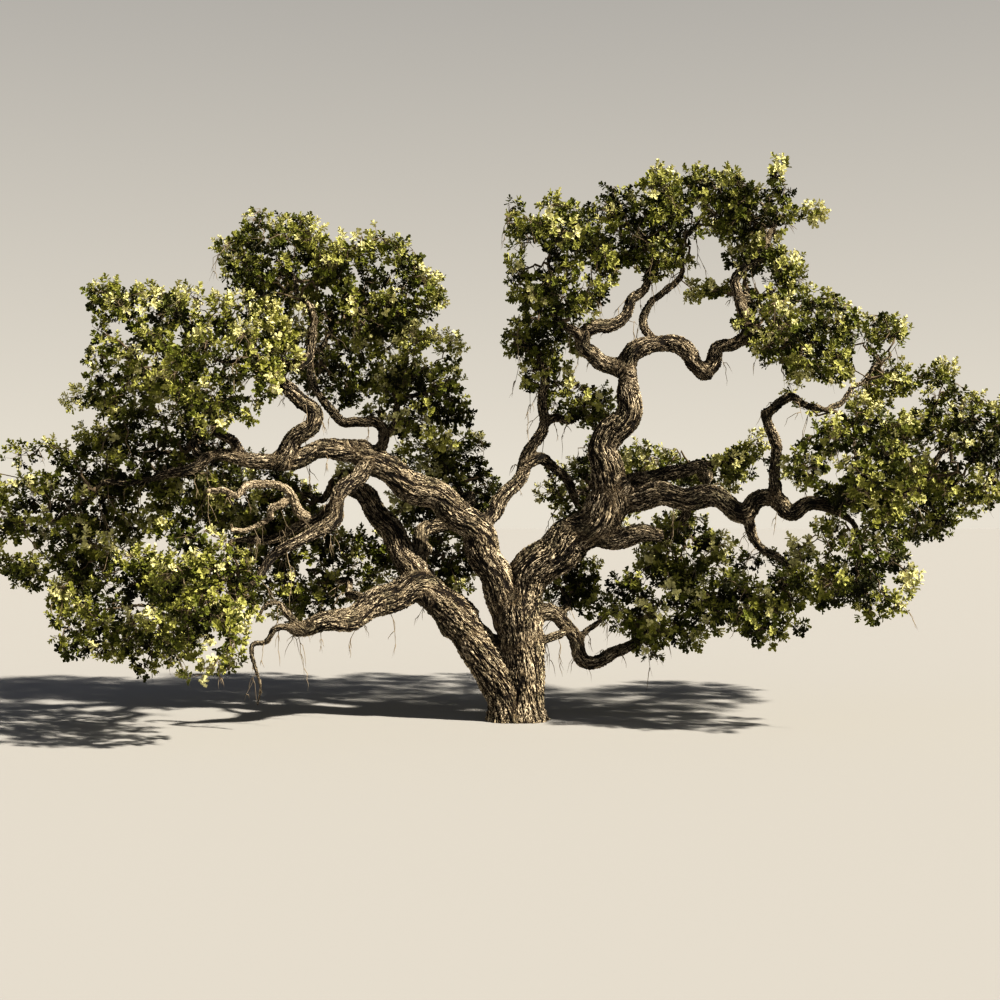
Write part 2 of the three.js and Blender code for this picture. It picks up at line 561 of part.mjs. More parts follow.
// The twigs of a mass branch from its stem, each from the nearest wood that has grown so far. A leaf gets
// shorter until it keeps to its space and meets no other wood or leaf, or is left out.
function massSolid(space) {
  const random = seededRandom(space.order * foliage.seedStep + foliage.firstSeed);
  const neighbours = wasm.Manifold.union([grownWood, ...grownStems.filter((_, i) => i !== space.order)]);
  const meanHalf = (space.half.x + space.half.y + space.half.z) / 3;
  const fullLength = Math.min(leaf.length * metre, leaf.shareOfMass * meanHalf);
  const count = Math.round(foliage.density * (meanHalf / fullLength) ** 2);
  const curve = curveOf(space.stemLimb.path);
  const pieces = [stems[space.order]];
  const joints = foliage.stemJoints.map((share) => {
    return { spot: curve.getPointAt(share), radius: foliage.twigRadius * metre, parent: 0 };
  });
  const root = joints[0].spot;
  const rounds = Array.from({ length: foliage.rounds }, () => spotsIn(space, count, random, root));
  for (const spot of rounds.flat()) {
    if (pieces.length > count) break;
    const from = nearestTo(spot, joints);
    let length = fullLength * (1 + leaf.variety * random());
    while (length > leaf.shortest * metre) {
      const shape = layBlade(space, from, spot, length, random);
      const fork = from.spot.clone().lerp(shape.foot, foliage.forkAt);
      const points = twigPoints(shape);
      const twig = twigSolid(points);
      const outer = twigSolid(twigPoints({ ...shape, joint: fork }));
      const inSpace = [...points, fork].every((point) => keepsTo(space, point));
      const meets = (piece, i) => !piece.intersect(i === from.parent ? outer : twig).isEmpty();
      if (inSpace && !pieces.some(meets) && neighbours.intersect(twig).isEmpty()) {
        joints.push({ spot: fork, radius: from.radius * foliage.forkRadius, parent: pieces.length });
        pieces.push(twig);
        break;
      }
      length *= leaf.shrink;
    }
  }
  return largestOf(wasm.Manifold.union(pieces));
}

for (const space of spaces) addPiece(space.name, massSolid(space), leafMaterial, space.from);

export default group;
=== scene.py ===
import bmesh
import bpy
import json
import numpy as np
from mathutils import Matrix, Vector

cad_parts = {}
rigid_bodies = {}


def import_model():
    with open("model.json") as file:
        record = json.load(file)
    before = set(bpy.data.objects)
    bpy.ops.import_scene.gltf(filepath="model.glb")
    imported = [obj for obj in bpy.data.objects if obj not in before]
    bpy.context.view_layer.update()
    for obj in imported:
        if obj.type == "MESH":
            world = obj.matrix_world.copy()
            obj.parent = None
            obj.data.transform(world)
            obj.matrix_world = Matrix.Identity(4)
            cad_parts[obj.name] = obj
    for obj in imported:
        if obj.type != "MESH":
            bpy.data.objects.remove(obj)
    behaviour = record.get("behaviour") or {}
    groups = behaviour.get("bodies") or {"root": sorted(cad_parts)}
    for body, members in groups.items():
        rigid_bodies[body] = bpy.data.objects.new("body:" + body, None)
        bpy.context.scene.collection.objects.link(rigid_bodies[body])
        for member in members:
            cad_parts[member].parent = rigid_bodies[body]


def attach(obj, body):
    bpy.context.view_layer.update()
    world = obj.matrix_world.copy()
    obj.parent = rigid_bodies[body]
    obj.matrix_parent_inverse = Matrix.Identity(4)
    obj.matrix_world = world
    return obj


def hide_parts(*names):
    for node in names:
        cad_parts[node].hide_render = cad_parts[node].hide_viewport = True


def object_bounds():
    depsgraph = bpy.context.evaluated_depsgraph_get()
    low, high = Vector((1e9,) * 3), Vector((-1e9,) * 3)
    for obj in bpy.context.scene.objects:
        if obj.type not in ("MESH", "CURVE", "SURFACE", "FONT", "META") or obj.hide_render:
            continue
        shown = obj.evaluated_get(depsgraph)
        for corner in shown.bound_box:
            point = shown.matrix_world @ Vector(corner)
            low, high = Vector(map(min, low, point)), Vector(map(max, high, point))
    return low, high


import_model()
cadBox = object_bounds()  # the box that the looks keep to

# An old oak on its own, in metres, +Z up, the ground at z = 0. Its limbs are laid out as they are seen from
# the eye: [across, depth behind the trunk, height], where across and height are read at the trunk's distance.
eye = {"across": -0.36, "distance": 30, "height": 4.4, "lens": 54}

trunk = {
    "stems": [
        {"radii": [0.44, 0.36], "path": [
            [-0.14, 0, -0.3], [-0.25, 0, 0.5], [-0.5, 0, 1.0], [-0.82, 0, 1.5], [-1.15, 0, 1.95],
        ]},
        {"radii": [0.45, 0.42], "path": [
            [0.12, 0, -0.3], [0.1, 0.02, 0.6], [0.1, 0.02, 1.4], [-0.02, 0, 2.05],
        ]},
    ],
    "flareHeight": 0.45, "flare": 0.07, "ridges": 5, "ridgeDepth": 0.5,
}
boughs = {
    "bough_left_low": {"radii": [0.37, 0.1], "ease": 0.6, "path": [
        [-1.15, 0, 1.95], [-1.58, -0.1, 2.42], [-2.05, -0.2, 2.65], [-2.5, -0.4, 2.5], [-3.0, -0.7, 2.2],
        [-3.6, -1.1, 2.0], [-4.5, -1.4, 1.8],
    ], "sideLimbs": [
        {"radii": [0.08, 0.03], "path": [
            [-4.35, -1.4, 1.83], [-4.6, -1.4, 2.1], [-4.75, -1.4, 2.33], [-5.0, -1.45, 2.33],
            [-5.2, -1.5, 2.0],
        ]},
        {"radii": [0.075, 0.018], "path": [
            [-4.4, -1.4, 1.82], [-4.85, -1.5, 1.83], [-5.05, -1.5, 1.57], [-5.3, -1.5, 1.5],
            [-5.25, -1.5, 1.0], [-5.15, -1.5, 0.65], [-5.2, -1.5, 0.3],
        ]},
    ]},
    "bough_left_rise": {"radii": [0.28, 0.16], "ease": 0.9, "path": [
        [-1.95, -0.15, 2.6], [-2.15, 0, 3.1], [-2.5, 0.1, 3.65], [-2.78, 0.3, 4.15], [-3.15, 0.6, 4.55],
        [-3.45, 1.25, 4.82],
    ]},
    "bough_left_back": {"radii": [0.19, 0.1], "path": [
        [-1.75, 0, 2.6], [-2.0, 0.4, 3.3], [-1.9, 0.8, 3.72], [-1.5, 1.2, 3.95], [-1.1, 1.9, 4.2],
        [-0.9, 2.7, 4.5],
    ]},
    "bough_left_high": {"radii": [0.35, 0.27], "path": [
        [-0.1, 0, 1.95], [-0.38, -0.05, 2.7], [-0.65, -0.1, 3.3], [-0.85, -0.1, 3.75], [-1.25, -0.2, 4.2],
        [-2.3, -0.4, 4.8], [-3.15, -0.6, 5.38],
    ]},
    "bough_left_reach": {"radii": [0.22, 0.07], "ease": 0.9, "path": [
        [-3.1, -0.6, 5.35], [-3.6, -0.7, 5.43], [-4.3, -0.9, 5.28], [-4.9, -1.0, 5.12], [-5.5, -1.1, 5.25],
        [-6.1, -1.2, 5.25], [-6.7, -1.4, 4.98], [-7.4, -1.6, 4.8],
    ]},
    "bough_left_crook": {"radii": [0.2, 0.085], "ease": 1.4, "path": [
        [-4.75, -0.97, 5.15], [-4.45, -1.0, 5.6], [-4.12, -1.0, 5.95], [-4.08, -1.0, 6.2],
        [-4.35, -1.1, 6.42], [-4.72, -1.2, 6.7], [-4.85, -1.25, 6.98], [-4.3, -1.15, 7.15],
        [-4.12, -1.0, 7.55], [-4.05, -1.0, 8.0],
    ]},
    "bough_left_hook": {"radii": [0.12, 0.06], "path": [
        [-2.85, -0.5, 5.15], [-2.7, -0.3, 5.7], [-2.85, -0.3, 5.97], [-3.2, -0.25, 5.98],
        [-3.5, -0.2, 5.93], [-3.8, -0.1, 6.3], [-4.1, 0.1, 6.68], [-4.15, 0.7, 7.3],
    ]},
    "bough_left_drop": {"radii": [0.18, 0.05], "ease": 0.8, "path": [
        [-2.95, -0.55, 5.2], [-3.3, -0.9, 4.78], [-3.6, -1.2, 4.4], [-3.72, -1.4, 4.02],
        [-4.0, -1.6, 3.75], [-4.6, -1.9, 3.5], [-4.95, -2.0, 3.2], [-5.35, -2.2, 2.7],
        [-5.75, -2.35, 2.35],
    ]},
    "bough_left_under": {"radii": [0.12, 0.07], "path": [
        [-3.62, -1.25, 4.3], [-4.1, -1.0, 4.0], [-4.65, -0.9, 3.72], [-5.2, -0.9, 3.6],
        [-5.75, -1.0, 3.55],
    ]},
    "bough_left_pale": {"radii": [0.09, 0.045], "dead": True, "path": [
        [-4.15, -0.98, 3.98], [-4.4, -1.15, 4.32], [-4.7, -1.3, 4.58], [-5.15, -1.4, 4.75],
        [-5.45, -1.45, 4.68], [-5.6, -1.5, 4.48], [-5.9, -1.5, 4.62], [-6.2, -1.5, 4.58],
    ], "sideLimbs": [
        {"radii": [0.075, 0.04], "path": [
            [-4.55, -1.22, 4.45], [-4.95, -1.35, 4.25], [-4.93, -1.35, 4.02], [-5.2, -1.4, 3.87],
            [-5.7, -1.5, 3.82],
        ]},
    ]},
    "bough_centre": {"radii": [0.17, 0.06], "ease": 0.9, "path": [
        [-0.85, -0.08, 3.78], [-0.4, 0.2, 4.28], [-0.05, 0.3, 4.75], [0.15, 0.4, 5.15], [0.36, 0.4, 5.6],
        [0.52, 0.4, 5.98], [0.5, 0.4, 6.5], [0.5, 0.4, 7.1], [0.3, 0.4, 7.5], [-0.1, 0.4, 7.7],
    ]},
    "bough_centre_arch": {"radii": [0.12, 0.08], "path": [
        [0.12, 0.38, 5.1], [0.42, 0.5, 5.2], [0.72, 0.8, 5.08], [1.0, 1.2, 4.75], [1.15, 1.7, 4.35],
    ]},
    "bough_right": {"radii": [0.43, 0.41], "path": [
        [0.0, 0, 1.95], [0.1, 0, 2.65], [0.5, 0, 3.15], [1.05, -0.1, 3.58], [1.6, -0.18, 4.0],
        [1.95, -0.2, 4.5],
    ], "sideLimbs": [
        {"radii": [0.3, 0.14], "path": [
            [1.35, -0.2, 3.85], [1.8, -0.3, 3.68], [2.2, -0.38, 3.66], [2.5, -0.42, 3.7],
            [2.8, -0.45, 3.72],
        ]},
    ]},
    "bough_right_rise": {"radii": [0.36, 0.17], "ease": 0.75, "path": [
        [1.92, -0.2, 4.45], [1.82, -0.2, 4.95], [1.65, -0.2, 5.35], [1.88, -0.2, 5.72], [2.18, -0.2, 6.1],
        [2.25, -0.2, 6.5], [2.2, -0.2, 6.85], [2.12, -0.2, 7.1],
    ]},
    "bough_right_arch": {"radii": [0.195, 0.155], "path": [
        [2.12, -0.2, 7.0], [2.36, -0.2, 7.36], [2.65, -0.2, 7.54], [3.05, -0.2, 7.52], [3.4, -0.2, 7.35],
        [3.6, -0.2, 7.08], [3.72, -0.2, 6.93],
    ]},
    "bough_right_swing": {"radii": [0.15, 0.075], "path": [
        [3.7, -0.2, 6.92], [3.9, -0.2, 7.15], [4.02, -0.2, 7.42], [4.3, -0.2, 7.52], [4.58, -0.2, 7.8],
        [4.6, -0.2, 8.1], [4.42, -0.2, 8.4], [4.32, -0.2, 8.78], [4.6, -0.1, 9.05], [4.86, 0, 9.32],
        [5.05, 0.1, 9.7],
    ]},
    "bough_right_crown": {"radii": [0.18, 0.07], "ease": 0.9, "path": [
        [2.15, -0.2, 7.0], [1.85, -0.2, 7.1], [1.55, -0.3, 7.27], [1.22, -0.4, 7.5], [1.38, -0.5, 7.75],
        [1.85, -0.5, 7.9], [2.15, -0.4, 8.12], [2.27, -0.3, 8.4], [2.55, -0.2, 8.65], [2.65, -0.1, 9.05],
    ]},
    "bough_right_fork": {"radii": [0.095, 0.05], "path": [
        [2.75, -0.2, 7.5], [2.52, 0.0, 7.95], [2.62, 0.25, 8.3], [2.95, 0.4, 8.58], [3.25, 0.5, 8.9],
        [3.3, 0.5, 9.25],
    ]},
    "bough_right_reach": {"radii": [0.27, 0.1], "ease": 1.3, "path": [
        [1.95, -0.22, 4.35], [2.7, -0.4, 4.5], [3.2, -0.5, 4.45], [3.8, -0.6, 4.46], [4.25, -0.7, 4.3],
        [4.52, -0.8, 4.16], [4.8, -0.8, 4.36], [5.2, -0.9, 4.4], [5.48, -0.9, 4.18], [5.85, -1.0, 4.3],
        [6.5, -0.9, 4.35], [7.2, -0.75, 4.48], [8.0, -0.6, 4.55],
    ]},
    "bough_right_post": {"radii": [0.12, 0.1], "path": [
        [5.1, -0.87, 4.35], [5.16, -0.8, 5.0], [5.15, -0.8, 5.4], [5.04, -0.8, 5.85], [4.96, -0.8, 6.15],
    ]},
    "bough_right_shelf": {"radii": [0.1, 0.055], "path": [
        [4.97, -0.8, 6.1], [5.18, -0.8, 6.34], [5.45, -0.8, 6.45], [5.7, -0.8, 6.3], [6.0, -0.8, 6.26],
        [6.4, -0.8, 6.14],
    ]},
    "bough_right_drop": {"radii": [0.115, 0.05], "path": [
        [4.52, -0.8, 4.12], [4.7, -0.9, 3.7], [4.92, -1.0, 3.4], [5.22, -1.1, 3.22], [5.6, -1.2, 2.85],
    ]},
    "bough_right_spur": {"radii": [0.1, 0.045], "path": [
        [5.95, -1.0, 4.3], [6.45, -1.2, 4.15], [6.7, -1.3, 3.95], [6.8, -1.4, 3.65],
    ]},
    "bough_right_back": {"radii": [0.17, 0.09], "path": [
        [1.95, 0, 4.5], [2.45, 0.3, 4.86], [2.95, 0.45, 4.88], [3.35, 0.6, 5.02], [3.62, 0.8, 5.08],
        [3.74, 1.2, 4.86], [3.8, 2.2, 4.9],
    ]},
    "bough_low": {"radii": [0.17, 0.1], "path": [
        [0.2, 0.05, 2.05], [0.72, 0.1, 2.14], [1.0, 0.1, 1.9], [1.15, 0.1, 1.5], [1.3, 0.1, 1.22],
        [1.62, 0.1, 1.2], [2.0, 0.2, 1.35], [2.38, 0.3, 1.62], [2.6, 0.4, 2.0],
    ], "sideLimbs": [
        {"radii": [0.075, 0.05], "path": [
            [1.32, 0.1, 1.24], [1.3, 0.1, 1.7], [1.55, 0.1, 1.93], [1.76, 0.1, 2.1],
        ]},
        {"radii": [0.085, 0.085], "path": [
            [0.3, 0.05, 1.52], [0.6, 0.02, 1.6], [0.85, 0.05, 1.74], [1.02, 0.1, 1.85],
        ]},
    ]},
}
masses = {
    "foliage_left_far": {"at": [-9.26, -0.6, 4.0], "half": [1.35, 1.9, 1.5],
        "from": "bough_left_reach", "stem": [[-7.35, -1.6, 4.81], [-8.1, -1.4, 4.75]]},
    "foliage_left_skirt": {"at": [-7.8, -1.2, 2.3], "half": [1.7, 1.9, 1.4],
        "from": "bough_left_drop", "stem": [[-5.7, -2.33, 2.4], [-6.4, -1.9, 2.1]]},
    "foliage_left_skirt_front": {"at": [-6.3, -3.3, 2.35], "half": [1.15, 1.7, 1.45],
        "from": "bough_left_drop", "stem": [[-5.35, -2.2, 2.72], [-5.8, -2.7, 2.75]]},
    "foliage_left_mid": {"at": [-7.36, 0.4, 5.2], "half": [1.8, 1.9, 1.15],
        "from": "bough_left_reach", "stem": [[-6.1, -1.2, 5.25], [-6.5, -0.6, 5.45]]},
    "foliage_left_upper": {"at": [-7.85, 0, 7.45], "half": [1.55, 2.0, 1.35],
        "from": "bough_left_reach", "stem": [[-5.5, -1.1, 5.25], [-6.2, -0.8, 6.1], [-7.0, -0.4, 6.7]]},
    "foliage_left_front": {"at": [-6.06, -2.5, 7.2], "half": [1.3, 1.9, 1.5],
        "from": "bough_left_crook", "stem": [[-4.74, -1.22, 6.88], [-5.3, -1.7, 7.1]]},
    "foliage_left_top": {"at": [-4.75, 0, 9.2], "half": [1.3, 2.0, 1.15],
        "from": "bough_left_crook", "stem": [[-4.06, -1.0, 7.97], [-4.4, -0.6, 8.6]]},
    "foliage_left_top_right": {"at": [-2.7, 0.3, 8.55], "half": [1.3, 1.9, 1.2],
        "from": "bough_left_hook", "stem": [[-4.15, 0.7, 7.28], [-3.5, 0.6, 7.95]]},
    "foliage_left_inner": {"at": [-3.5, 2.0, 7.3], "half": [1.25, 1.6, 1.15],
        "from": "bough_left_hook", "stem": [[-4.12, 0.5, 7.05], [-3.9, 1.3, 7.2]]},
    "foliage_left_shoulder": {"at": [-1.76, 0.6, 6.65], "half": [1.2, 1.8, 1.35],
        "from": "bough_left_hook", "stem": [[-2.7, -0.3, 5.65], [-2.3, 0.2, 6.35]]},
    "foliage_left_low": {"at": [-4.25, 1.7, 3.05], "half": [1.75, 1.7, 1.05],
        "from": "bough_left_low", "stem": [[-3.1, -0.78, 2.17], [-3.4, 0.4, 2.7]]},
    "foliage_left_back": {"at": [-5.2, 2.9, 4.35], "half": [1.6, 2.1, 1.0],
        "from": "bough_left_rise", "stem": [[-3.43, 1.22, 4.81], [-3.9, 1.9, 4.5]]},
    "foliage_centre_back": {"at": [-1.46, 4.0, 4.7], "half": [1.2, 1.9, 1.2],
        "from": "bough_left_back", "stem": [[-0.92, 2.65, 4.49], [-1.2, 3.3, 4.65]]},
    "foliage_centre_low": {"at": [-1.56, 2.6, 3.1], "half": [0.9, 1.4, 0.7],
        "from": "bough_left_back", "stem": [[-1.93, 0.6, 3.55], [-1.75, 1.7, 3.3]]},
    "foliage_centre_right_back": {"at": [1.54, 3.7, 4.7], "half": [1.0, 1.8, 0.95],
        "from": "bough_centre_arch", "stem": [[1.14, 1.67, 4.38], [1.35, 2.7, 4.6]]},
    "foliage_right_top_left": {"at": [0.64, -0.9, 9.2], "half": [1.25, 1.9, 1.5],
        "from": "bough_right_crown", "stem": [[1.25, -0.43, 7.55], [0.8, -0.8, 8.1]]},
    "foliage_right_top_mid": {"at": [2.4, 0.1, 9.85], "half": [1.2, 1.9, 1.25],
        "from": "bough_right_crown", "stem": [[2.65, -0.1, 9.02], [2.6, 0, 9.5]]},
    "foliage_right_top": {"at": [3.8, 0.9, 10.25], "half": [0.95, 1.8, 1.0],
        "from": "bough_right_fork", "stem": [[3.3, 0.5, 9.22], [3.4, 0.7, 9.7]]},
    "foliage_right_top_edge": {"at": [4.85, 0.1, 10.35], "half": [0.8, 1.6, 0.95],
        "from": "bough_right_swing", "stem": [[5.04, 0.1, 9.67], [5.1, 0.1, 10.0]]},
    "foliage_right_edge_low": {"at": [0.45, 0.9, 7.3], "half": [0.62, 1.3, 0.95],
        "from": "bough_centre", "stem": [[-0.07, 0.4, 7.69], [0.1, 0.75, 7.6]]},
    "foliage_right_centre": {"at": [1.44, 0.9, 6.36], "half": [0.65, 1.2, 0.75],
        "from": "bough_centre", "stem": [[0.52, 0.4, 5.96], [0.95, 0.6, 5.98]]},
    "foliage_right_inner": {"at": [4.7, 0.9, 8.6], "half": [1.05, 1.5, 1.0],
        "from": "bough_right_swing", "stem": [[4.42, -0.2, 8.42], [4.6, 0.2, 8.5]]},
    "foliage_right_shoulder": {"at": [5.75, -0.8, 7.6], "half": [1.1, 1.8, 1.0],
        "from": "bough_right_swing", "stem": [[4.45, -0.2, 7.62], [5.1, -0.5, 7.65]]},
    "foliage_right_knob": {"at": [7.42, 0.8, 7.3], "half": [0.82, 1.5, 0.95],
        "from": "bough_right_shelf", "stem": [[6.2, -0.8, 6.2], [6.7, -0.2, 6.6], [7.1, 0.3, 7.0]]},
    "foliage_right_mid": {"at": [6.75, -1.6, 5.3], "half": [1.4, 1.9, 1.15],
        "from": "bough_right_shelf", "stem": [[6.38, -0.8, 6.15], [6.6, -1.1, 5.9]]},
    "foliage_right_far": {"at": [8.85, 0.2, 5.55], "half": [1.5, 2.0, 1.4],
        "from": "bough_right_reach", "stem": [[7.97, -0.6, 4.55], [8.3, -0.3, 5.1]]},
    "foliage_right_far_back": {"at": [7.8, 2.4, 4.4], "half": [1.35, 1.8, 0.95],
        "from": "bough_right_reach", "stem": [[7.15, -0.76, 4.47], [7.4, 0.8, 4.45]]},
    "foliage_right_back": {"at": [3.74, 3.9, 5.25], "half": [1.4, 2.0, 0.75],
        "from": "bough_right_back", "stem": [[3.8, 2.17, 4.9], [3.85, 2.9, 5.05]]},
    "foliage_right_under": {"at": [3.34, 1.2, 3.5], "half": [1.0, 1.5, 0.7],
        "from": "bough_right_reach", "stem": [[3.25, -0.5, 4.4], [3.3, 0.2, 3.95]]},
    "foliage_right_skirt": {"at": [6.78, -1.5, 3.04], "half": [1.25, 1.7, 1.1],
        "from": "bough_right_spur", "stem": [[6.79, -1.4, 3.68], [6.8, -1.45, 3.35]]},
    "foliage_right_skirt_mid": {"at": [4.6, -1.0, 2.4], "half": [1.15, 1.7, 0.9],
        "from": "bough_right_drop", "stem": [[5.58, -1.2, 2.87], [5.2, -1.1, 2.6]]},
    "foliage_right_low": {"at": [2.9, 0.7, 2.35], "half": [1.15, 1.7, 1.1],
        "from": "bough_low", "stem": [[2.59, 0.4, 1.97], [2.72, 0.5, 2.15]]},
    "foliage_low_inner": {"at": [1.2, 1.4, 2.68], "half": [0.7, 1.2, 0.58],
        "from": "bough_low", "stem": [[0.75, 0.1, 2.12], [0.95, 0.6, 2.4]]},
}
woodPieces = {  # which limbs each piece of wood holds
    "wood_trunk": ["trunk", "bough_low", "bough_left_back"],
    "wood_centre": ["bough_centre", "bough_centre_arch"],
    "wood_left_low": ["bough_left_low", "bough_left_rise"],
    "wood_left_high": ["bough_left_high", "bough_left_drop", "bough_left_under"],
    "wood_left_reach": ["bough_left_reach", "bough_left_crook", "bough_left_hook"],
    "wood_right": ["bough_right", "bough_right_back"],
    "wood_right_reach": [
        "bough_right_reach", "bough_right_post", "bough_right_shelf", "bough_right_drop", "bough_right_spur",
    ],
    "wood_right_high": [
        "bough_right_rise", "bough_right_arch", "bough_right_swing", "bough_right_crown", "bough_right_fork",
    ],
}


def seen(path):  # laid-out points to metres
    path = np.atleast_2d(np.array(path, float))
    reach = 1 + path[:, 1] / eye["distance"]
    across = eye["across"] + (path[:, 0] - eye["across"]) * reach
    height = eye["height"] + (path[:, 2] - eye["height"]) * reach
    return np.stack([across, path[:, 1], height], 1)


def laidOut(points):  # metres back to what the eye sees at the trunk's distance
    reach = 1 + points[:, 1] / eye["distance"]
    across = eye["across"] + (points[:, 0] - eye["across"]) / reach
    return np.stack([across, eye["height"] + (points[:, 2] - eye["height"]) / reach], 1)


def unit(vectors):
    return vectors / np.maximum(np.linalg.norm(vectors, axis=-1, keepdims=True), 1e-9)


def curveThrough(path, spacing):  # evenly spaced points on a centripetal curve
    ends = np.vstack([2 * path[0] - path[1], path, 2 * path[-1] - path[-2]])
    fine = []
    for start in range(len(path) - 1):
        level = ends[start:start + 4]
        knots = np.cumsum([0, *(np.linalg.norm(q - p) ** 0.5 for p, q in zip(level, level[1:]))])
        at = np.linspace(knots[1], knots[2], 16, endpoint=False)[:, None]
        for first, gap in ((0, 1), (0, 2), (1, 1)):  # from four points to one, two by two
            level = [
                ((knots[low + gap] - at) * p + (at - knots[low]) * q) / (knots[low + gap] - knots[low])
                for low, p, q in zip(range(first, 4), level, level[1:])
            ]
        fine.append(level[0])
    fine = np.vstack([*fine, path[-1:]])
    along = np.concatenate([[0], np.cumsum(np.linalg.norm(np.diff(fine, axis=0), axis=1))])
    even = np.linspace(0, along[-1], max(int(round(along[-1] / spacing)), 2) + 1)
    return np.stack([np.interp(even, along, fine[:, axis]) for axis in range(3)], 1), even


def framesAlong(points):  # headings, and sides that turn as little as they can
    headings = unit(np.gradient(points, axis=0))
    side = unit(np.cross(headings[0], [0.2, 1, 0.1]))
    sides = []
    for heading in headings:
        side = unit(side - heading * (side @ heading))
        sides.append(side)
    return headings, np.array(sides), np.cross(headings, sides)


bark = {
    "voxel": 0.021, "deadVoxel": 0.011,  # how fine the wood's mesh is
    "spacing": 0.03, "sides": 28, "deadSides": 16,  # of the tubes that it grows from
    "thinPlate": 0.027, "thickPlate": 0.052, "thickRadius": 0.45,  # plate width, and what a thick limb adds
    "plateLength": 10.5,  # how many times longer than wide
    "twist": 0.35,  # how far the bark winds, in radians for each metre
    "grainReach": 0.35,  # how far from its skin a limb's pattern is worked out
    "limbShift": 31.7,  # moves each limb's pattern on from the last one's
    "collar": 0.12, "collarLength": 0.08,  # a limb swells where it springs from its parent
    "swell": 0.08, "swellWaves": (5.3, 1.7),  # how far limbs swell and shrink along their way, and how fast
    "wobble": 0.3, "wobbleRadius": 0.15,  # how far a limb sways, as a share of its radius or this one
    "wobbleWaves": (6.1, 4.3), "wobbleFrom": 0.15,  # it sways in full past this share of its length
    "stemWobble": 1.1, "stemTip": 0.03, "stemRoot": 0.1, "stemShare": 0.9,  # of the stems into the masses
    "deadWobble": 0.9,
    "rounding": (0.35, 0.8),  # how far a limb's root and tip are rounded off, as shares of its radius
    "forkReach": 0.05, "forkShare": 1.4,  # how far a fork's crease is smoothed, the second in plate widths
    "forkRounds": 40, "forkPull": 0.6,  # how often and how strongly
    "forkBlend": 0.06,  # how far the patterns of two limbs blend
    "cutRounds": 12,  # how often the cut between two pieces is smoothed
}


def limbOf(name, path, radii, ease=1, flared=False, wobble=bark["wobble"]):  # rounded off past its path
    points, along = curveThrough(seen(path), bark["spacing"])
    share = along / along[-1]
    root, tip = radii
    collar = 1 + bark["collar"] * np.exp(-share / bark["collarLength"])
    radius = (tip + (root - tip) * (1 - share) ** ease) * collar
    phase = sum(map(ord, name)) % 7
    swells = [np.sin(along * wave + phase) for wave in bark["swellWaves"]]
    radius *= 1 + bark["swell"] * swells[0] * swells[1]
    if not flared:
        sway = wobble * np.minimum(radius, bark["wobbleRadius"]) * np.minimum(share / bark["wobbleFrom"], 1)
        for turn, (wave, ways) in enumerate(zip(bark["wobbleWaves"], framesAlong(points)[1:]), 1):
            points = points + (sway * np.sin(along * wave + turn * phase))[:, None] * ways
    before, after = (
        np.arange(1, 1 + np.ceil(share * end / bark["spacing"])) * bark["spacing"]
        for share, end in zip(bark["rounding"], (radius[0], radius[-1]))
    )
    startWay, endWay = unit(points[0] - points[1]), unit(points[-1] - points[-2])
    points = np.vstack([
        points[0] + startWay * before[::-1, None], points, points[-1] + endWay * after[:, None],
    ])
    ends = [np.sqrt(1 - (0.97 * steps / steps[-1]) ** 2) for steps in (before, after)]
    rounding = np.concatenate([ends[0][::-1], np.ones(len(radius)), ends[1]])
    radius = np.pad(radius, (len(before), len(after)), "edge")
    along = np.concatenate([-before[::-1], along, along[-1] + after]) + before[-1]
    plate = bark["thinPlate"] + bark["thickPlate"] * np.minimum(radius / bark["thickRadius"], 1) ** 0.7
    grown = np.concatenate([[0], np.cumsum(np.diff(along) / (plate[1:] * bark["plateLength"]))])
    headings, sides, overs = framesAlong(points)
    return {
        "name": name, "points": points, "along": along, "radius": radius, "rounding": rounding,
        "plate": plate, "flared": flared, "grown": grown, "headings": headings,
        "sides": sides, "overs": overs,
    }


limbs = [limbOf("trunk", flared=True, **stem) for stem in trunk["stems"]]
deadLimbs = []
for name, bough in boughs.items():
    for part in [bough, *bough.get("sideLimbs", [])]:
        wobble = bark["deadWobble"] if bough.get("dead") else bark["wobble"]
        limb = limbOf(name, part["path"], part["radii"], part.get("ease", 1), wobble=wobble)
        (deadLimbs if bough.get("dead") else limbs).append(limb)
boughPoints = np.vstack([limb["points"] for limb in limbs])
boughRadii = np.concatenate([limb["radius"] for limb in limbs])
stems = {}
for name, mass in masses.items():  # the wood of a stem goes with the bough that it springs from
    root = boughRadii[np.linalg.norm(boughPoints - seen(mass["stem"])[0], axis=1).argmin()]
    radii = [min(bark["stemShare"] * root, bark["stemRoot"]), bark["stemTip"]]
    stems[name] = limbOf(name, [*mass["stem"], mass["at"]], radii, wobble=bark["stemWobble"])
    stems[name]["name"] = mass["from"]
limbs += stems.values()
print(f"laid out {len(limbs) + len(deadLimbs)} limbs")


def tubeOf(limb, sides):  # a closed tube, rounded off at its ends
    points, radius = limb["points"], limb["radius"] * limb["rounding"]
    angles = np.linspace(0, 2 * np.pi, sides, endpoint=False)
    ring = np.cos(angles)[:, None] * limb["sides"][:, None] + np.sin(angles)[:, None] * limb["overs"][:, None]
    reach = radius[:, None] * np.ones(sides)
    if limb["flared"]:
        height = np.maximum(0, 1 - points[:, 2] / trunk["flareHeight"])[:, None]
        ridged = 1 + trunk["ridgeDepth"] * np.cos(trunk["ridges"] * angles)
        reach *= 1 + trunk["flare"] * height ** 2 * ridged
    verts = (points[:, None] + ring * reach[..., None]).reshape(-1, 3)
    turn = np.arange(sides)
    low = np.arange(len(points) - 1)[:, None] * sides + turn
    beside = low + (turn + 1) % sides - turn
    quads = np.stack([low, beside, beside + sides, low + sides], -1)
    return verts, [*quads.reshape(-1, 4).tolist(), list(turn[::-1]), list(low[-1] + sides)]


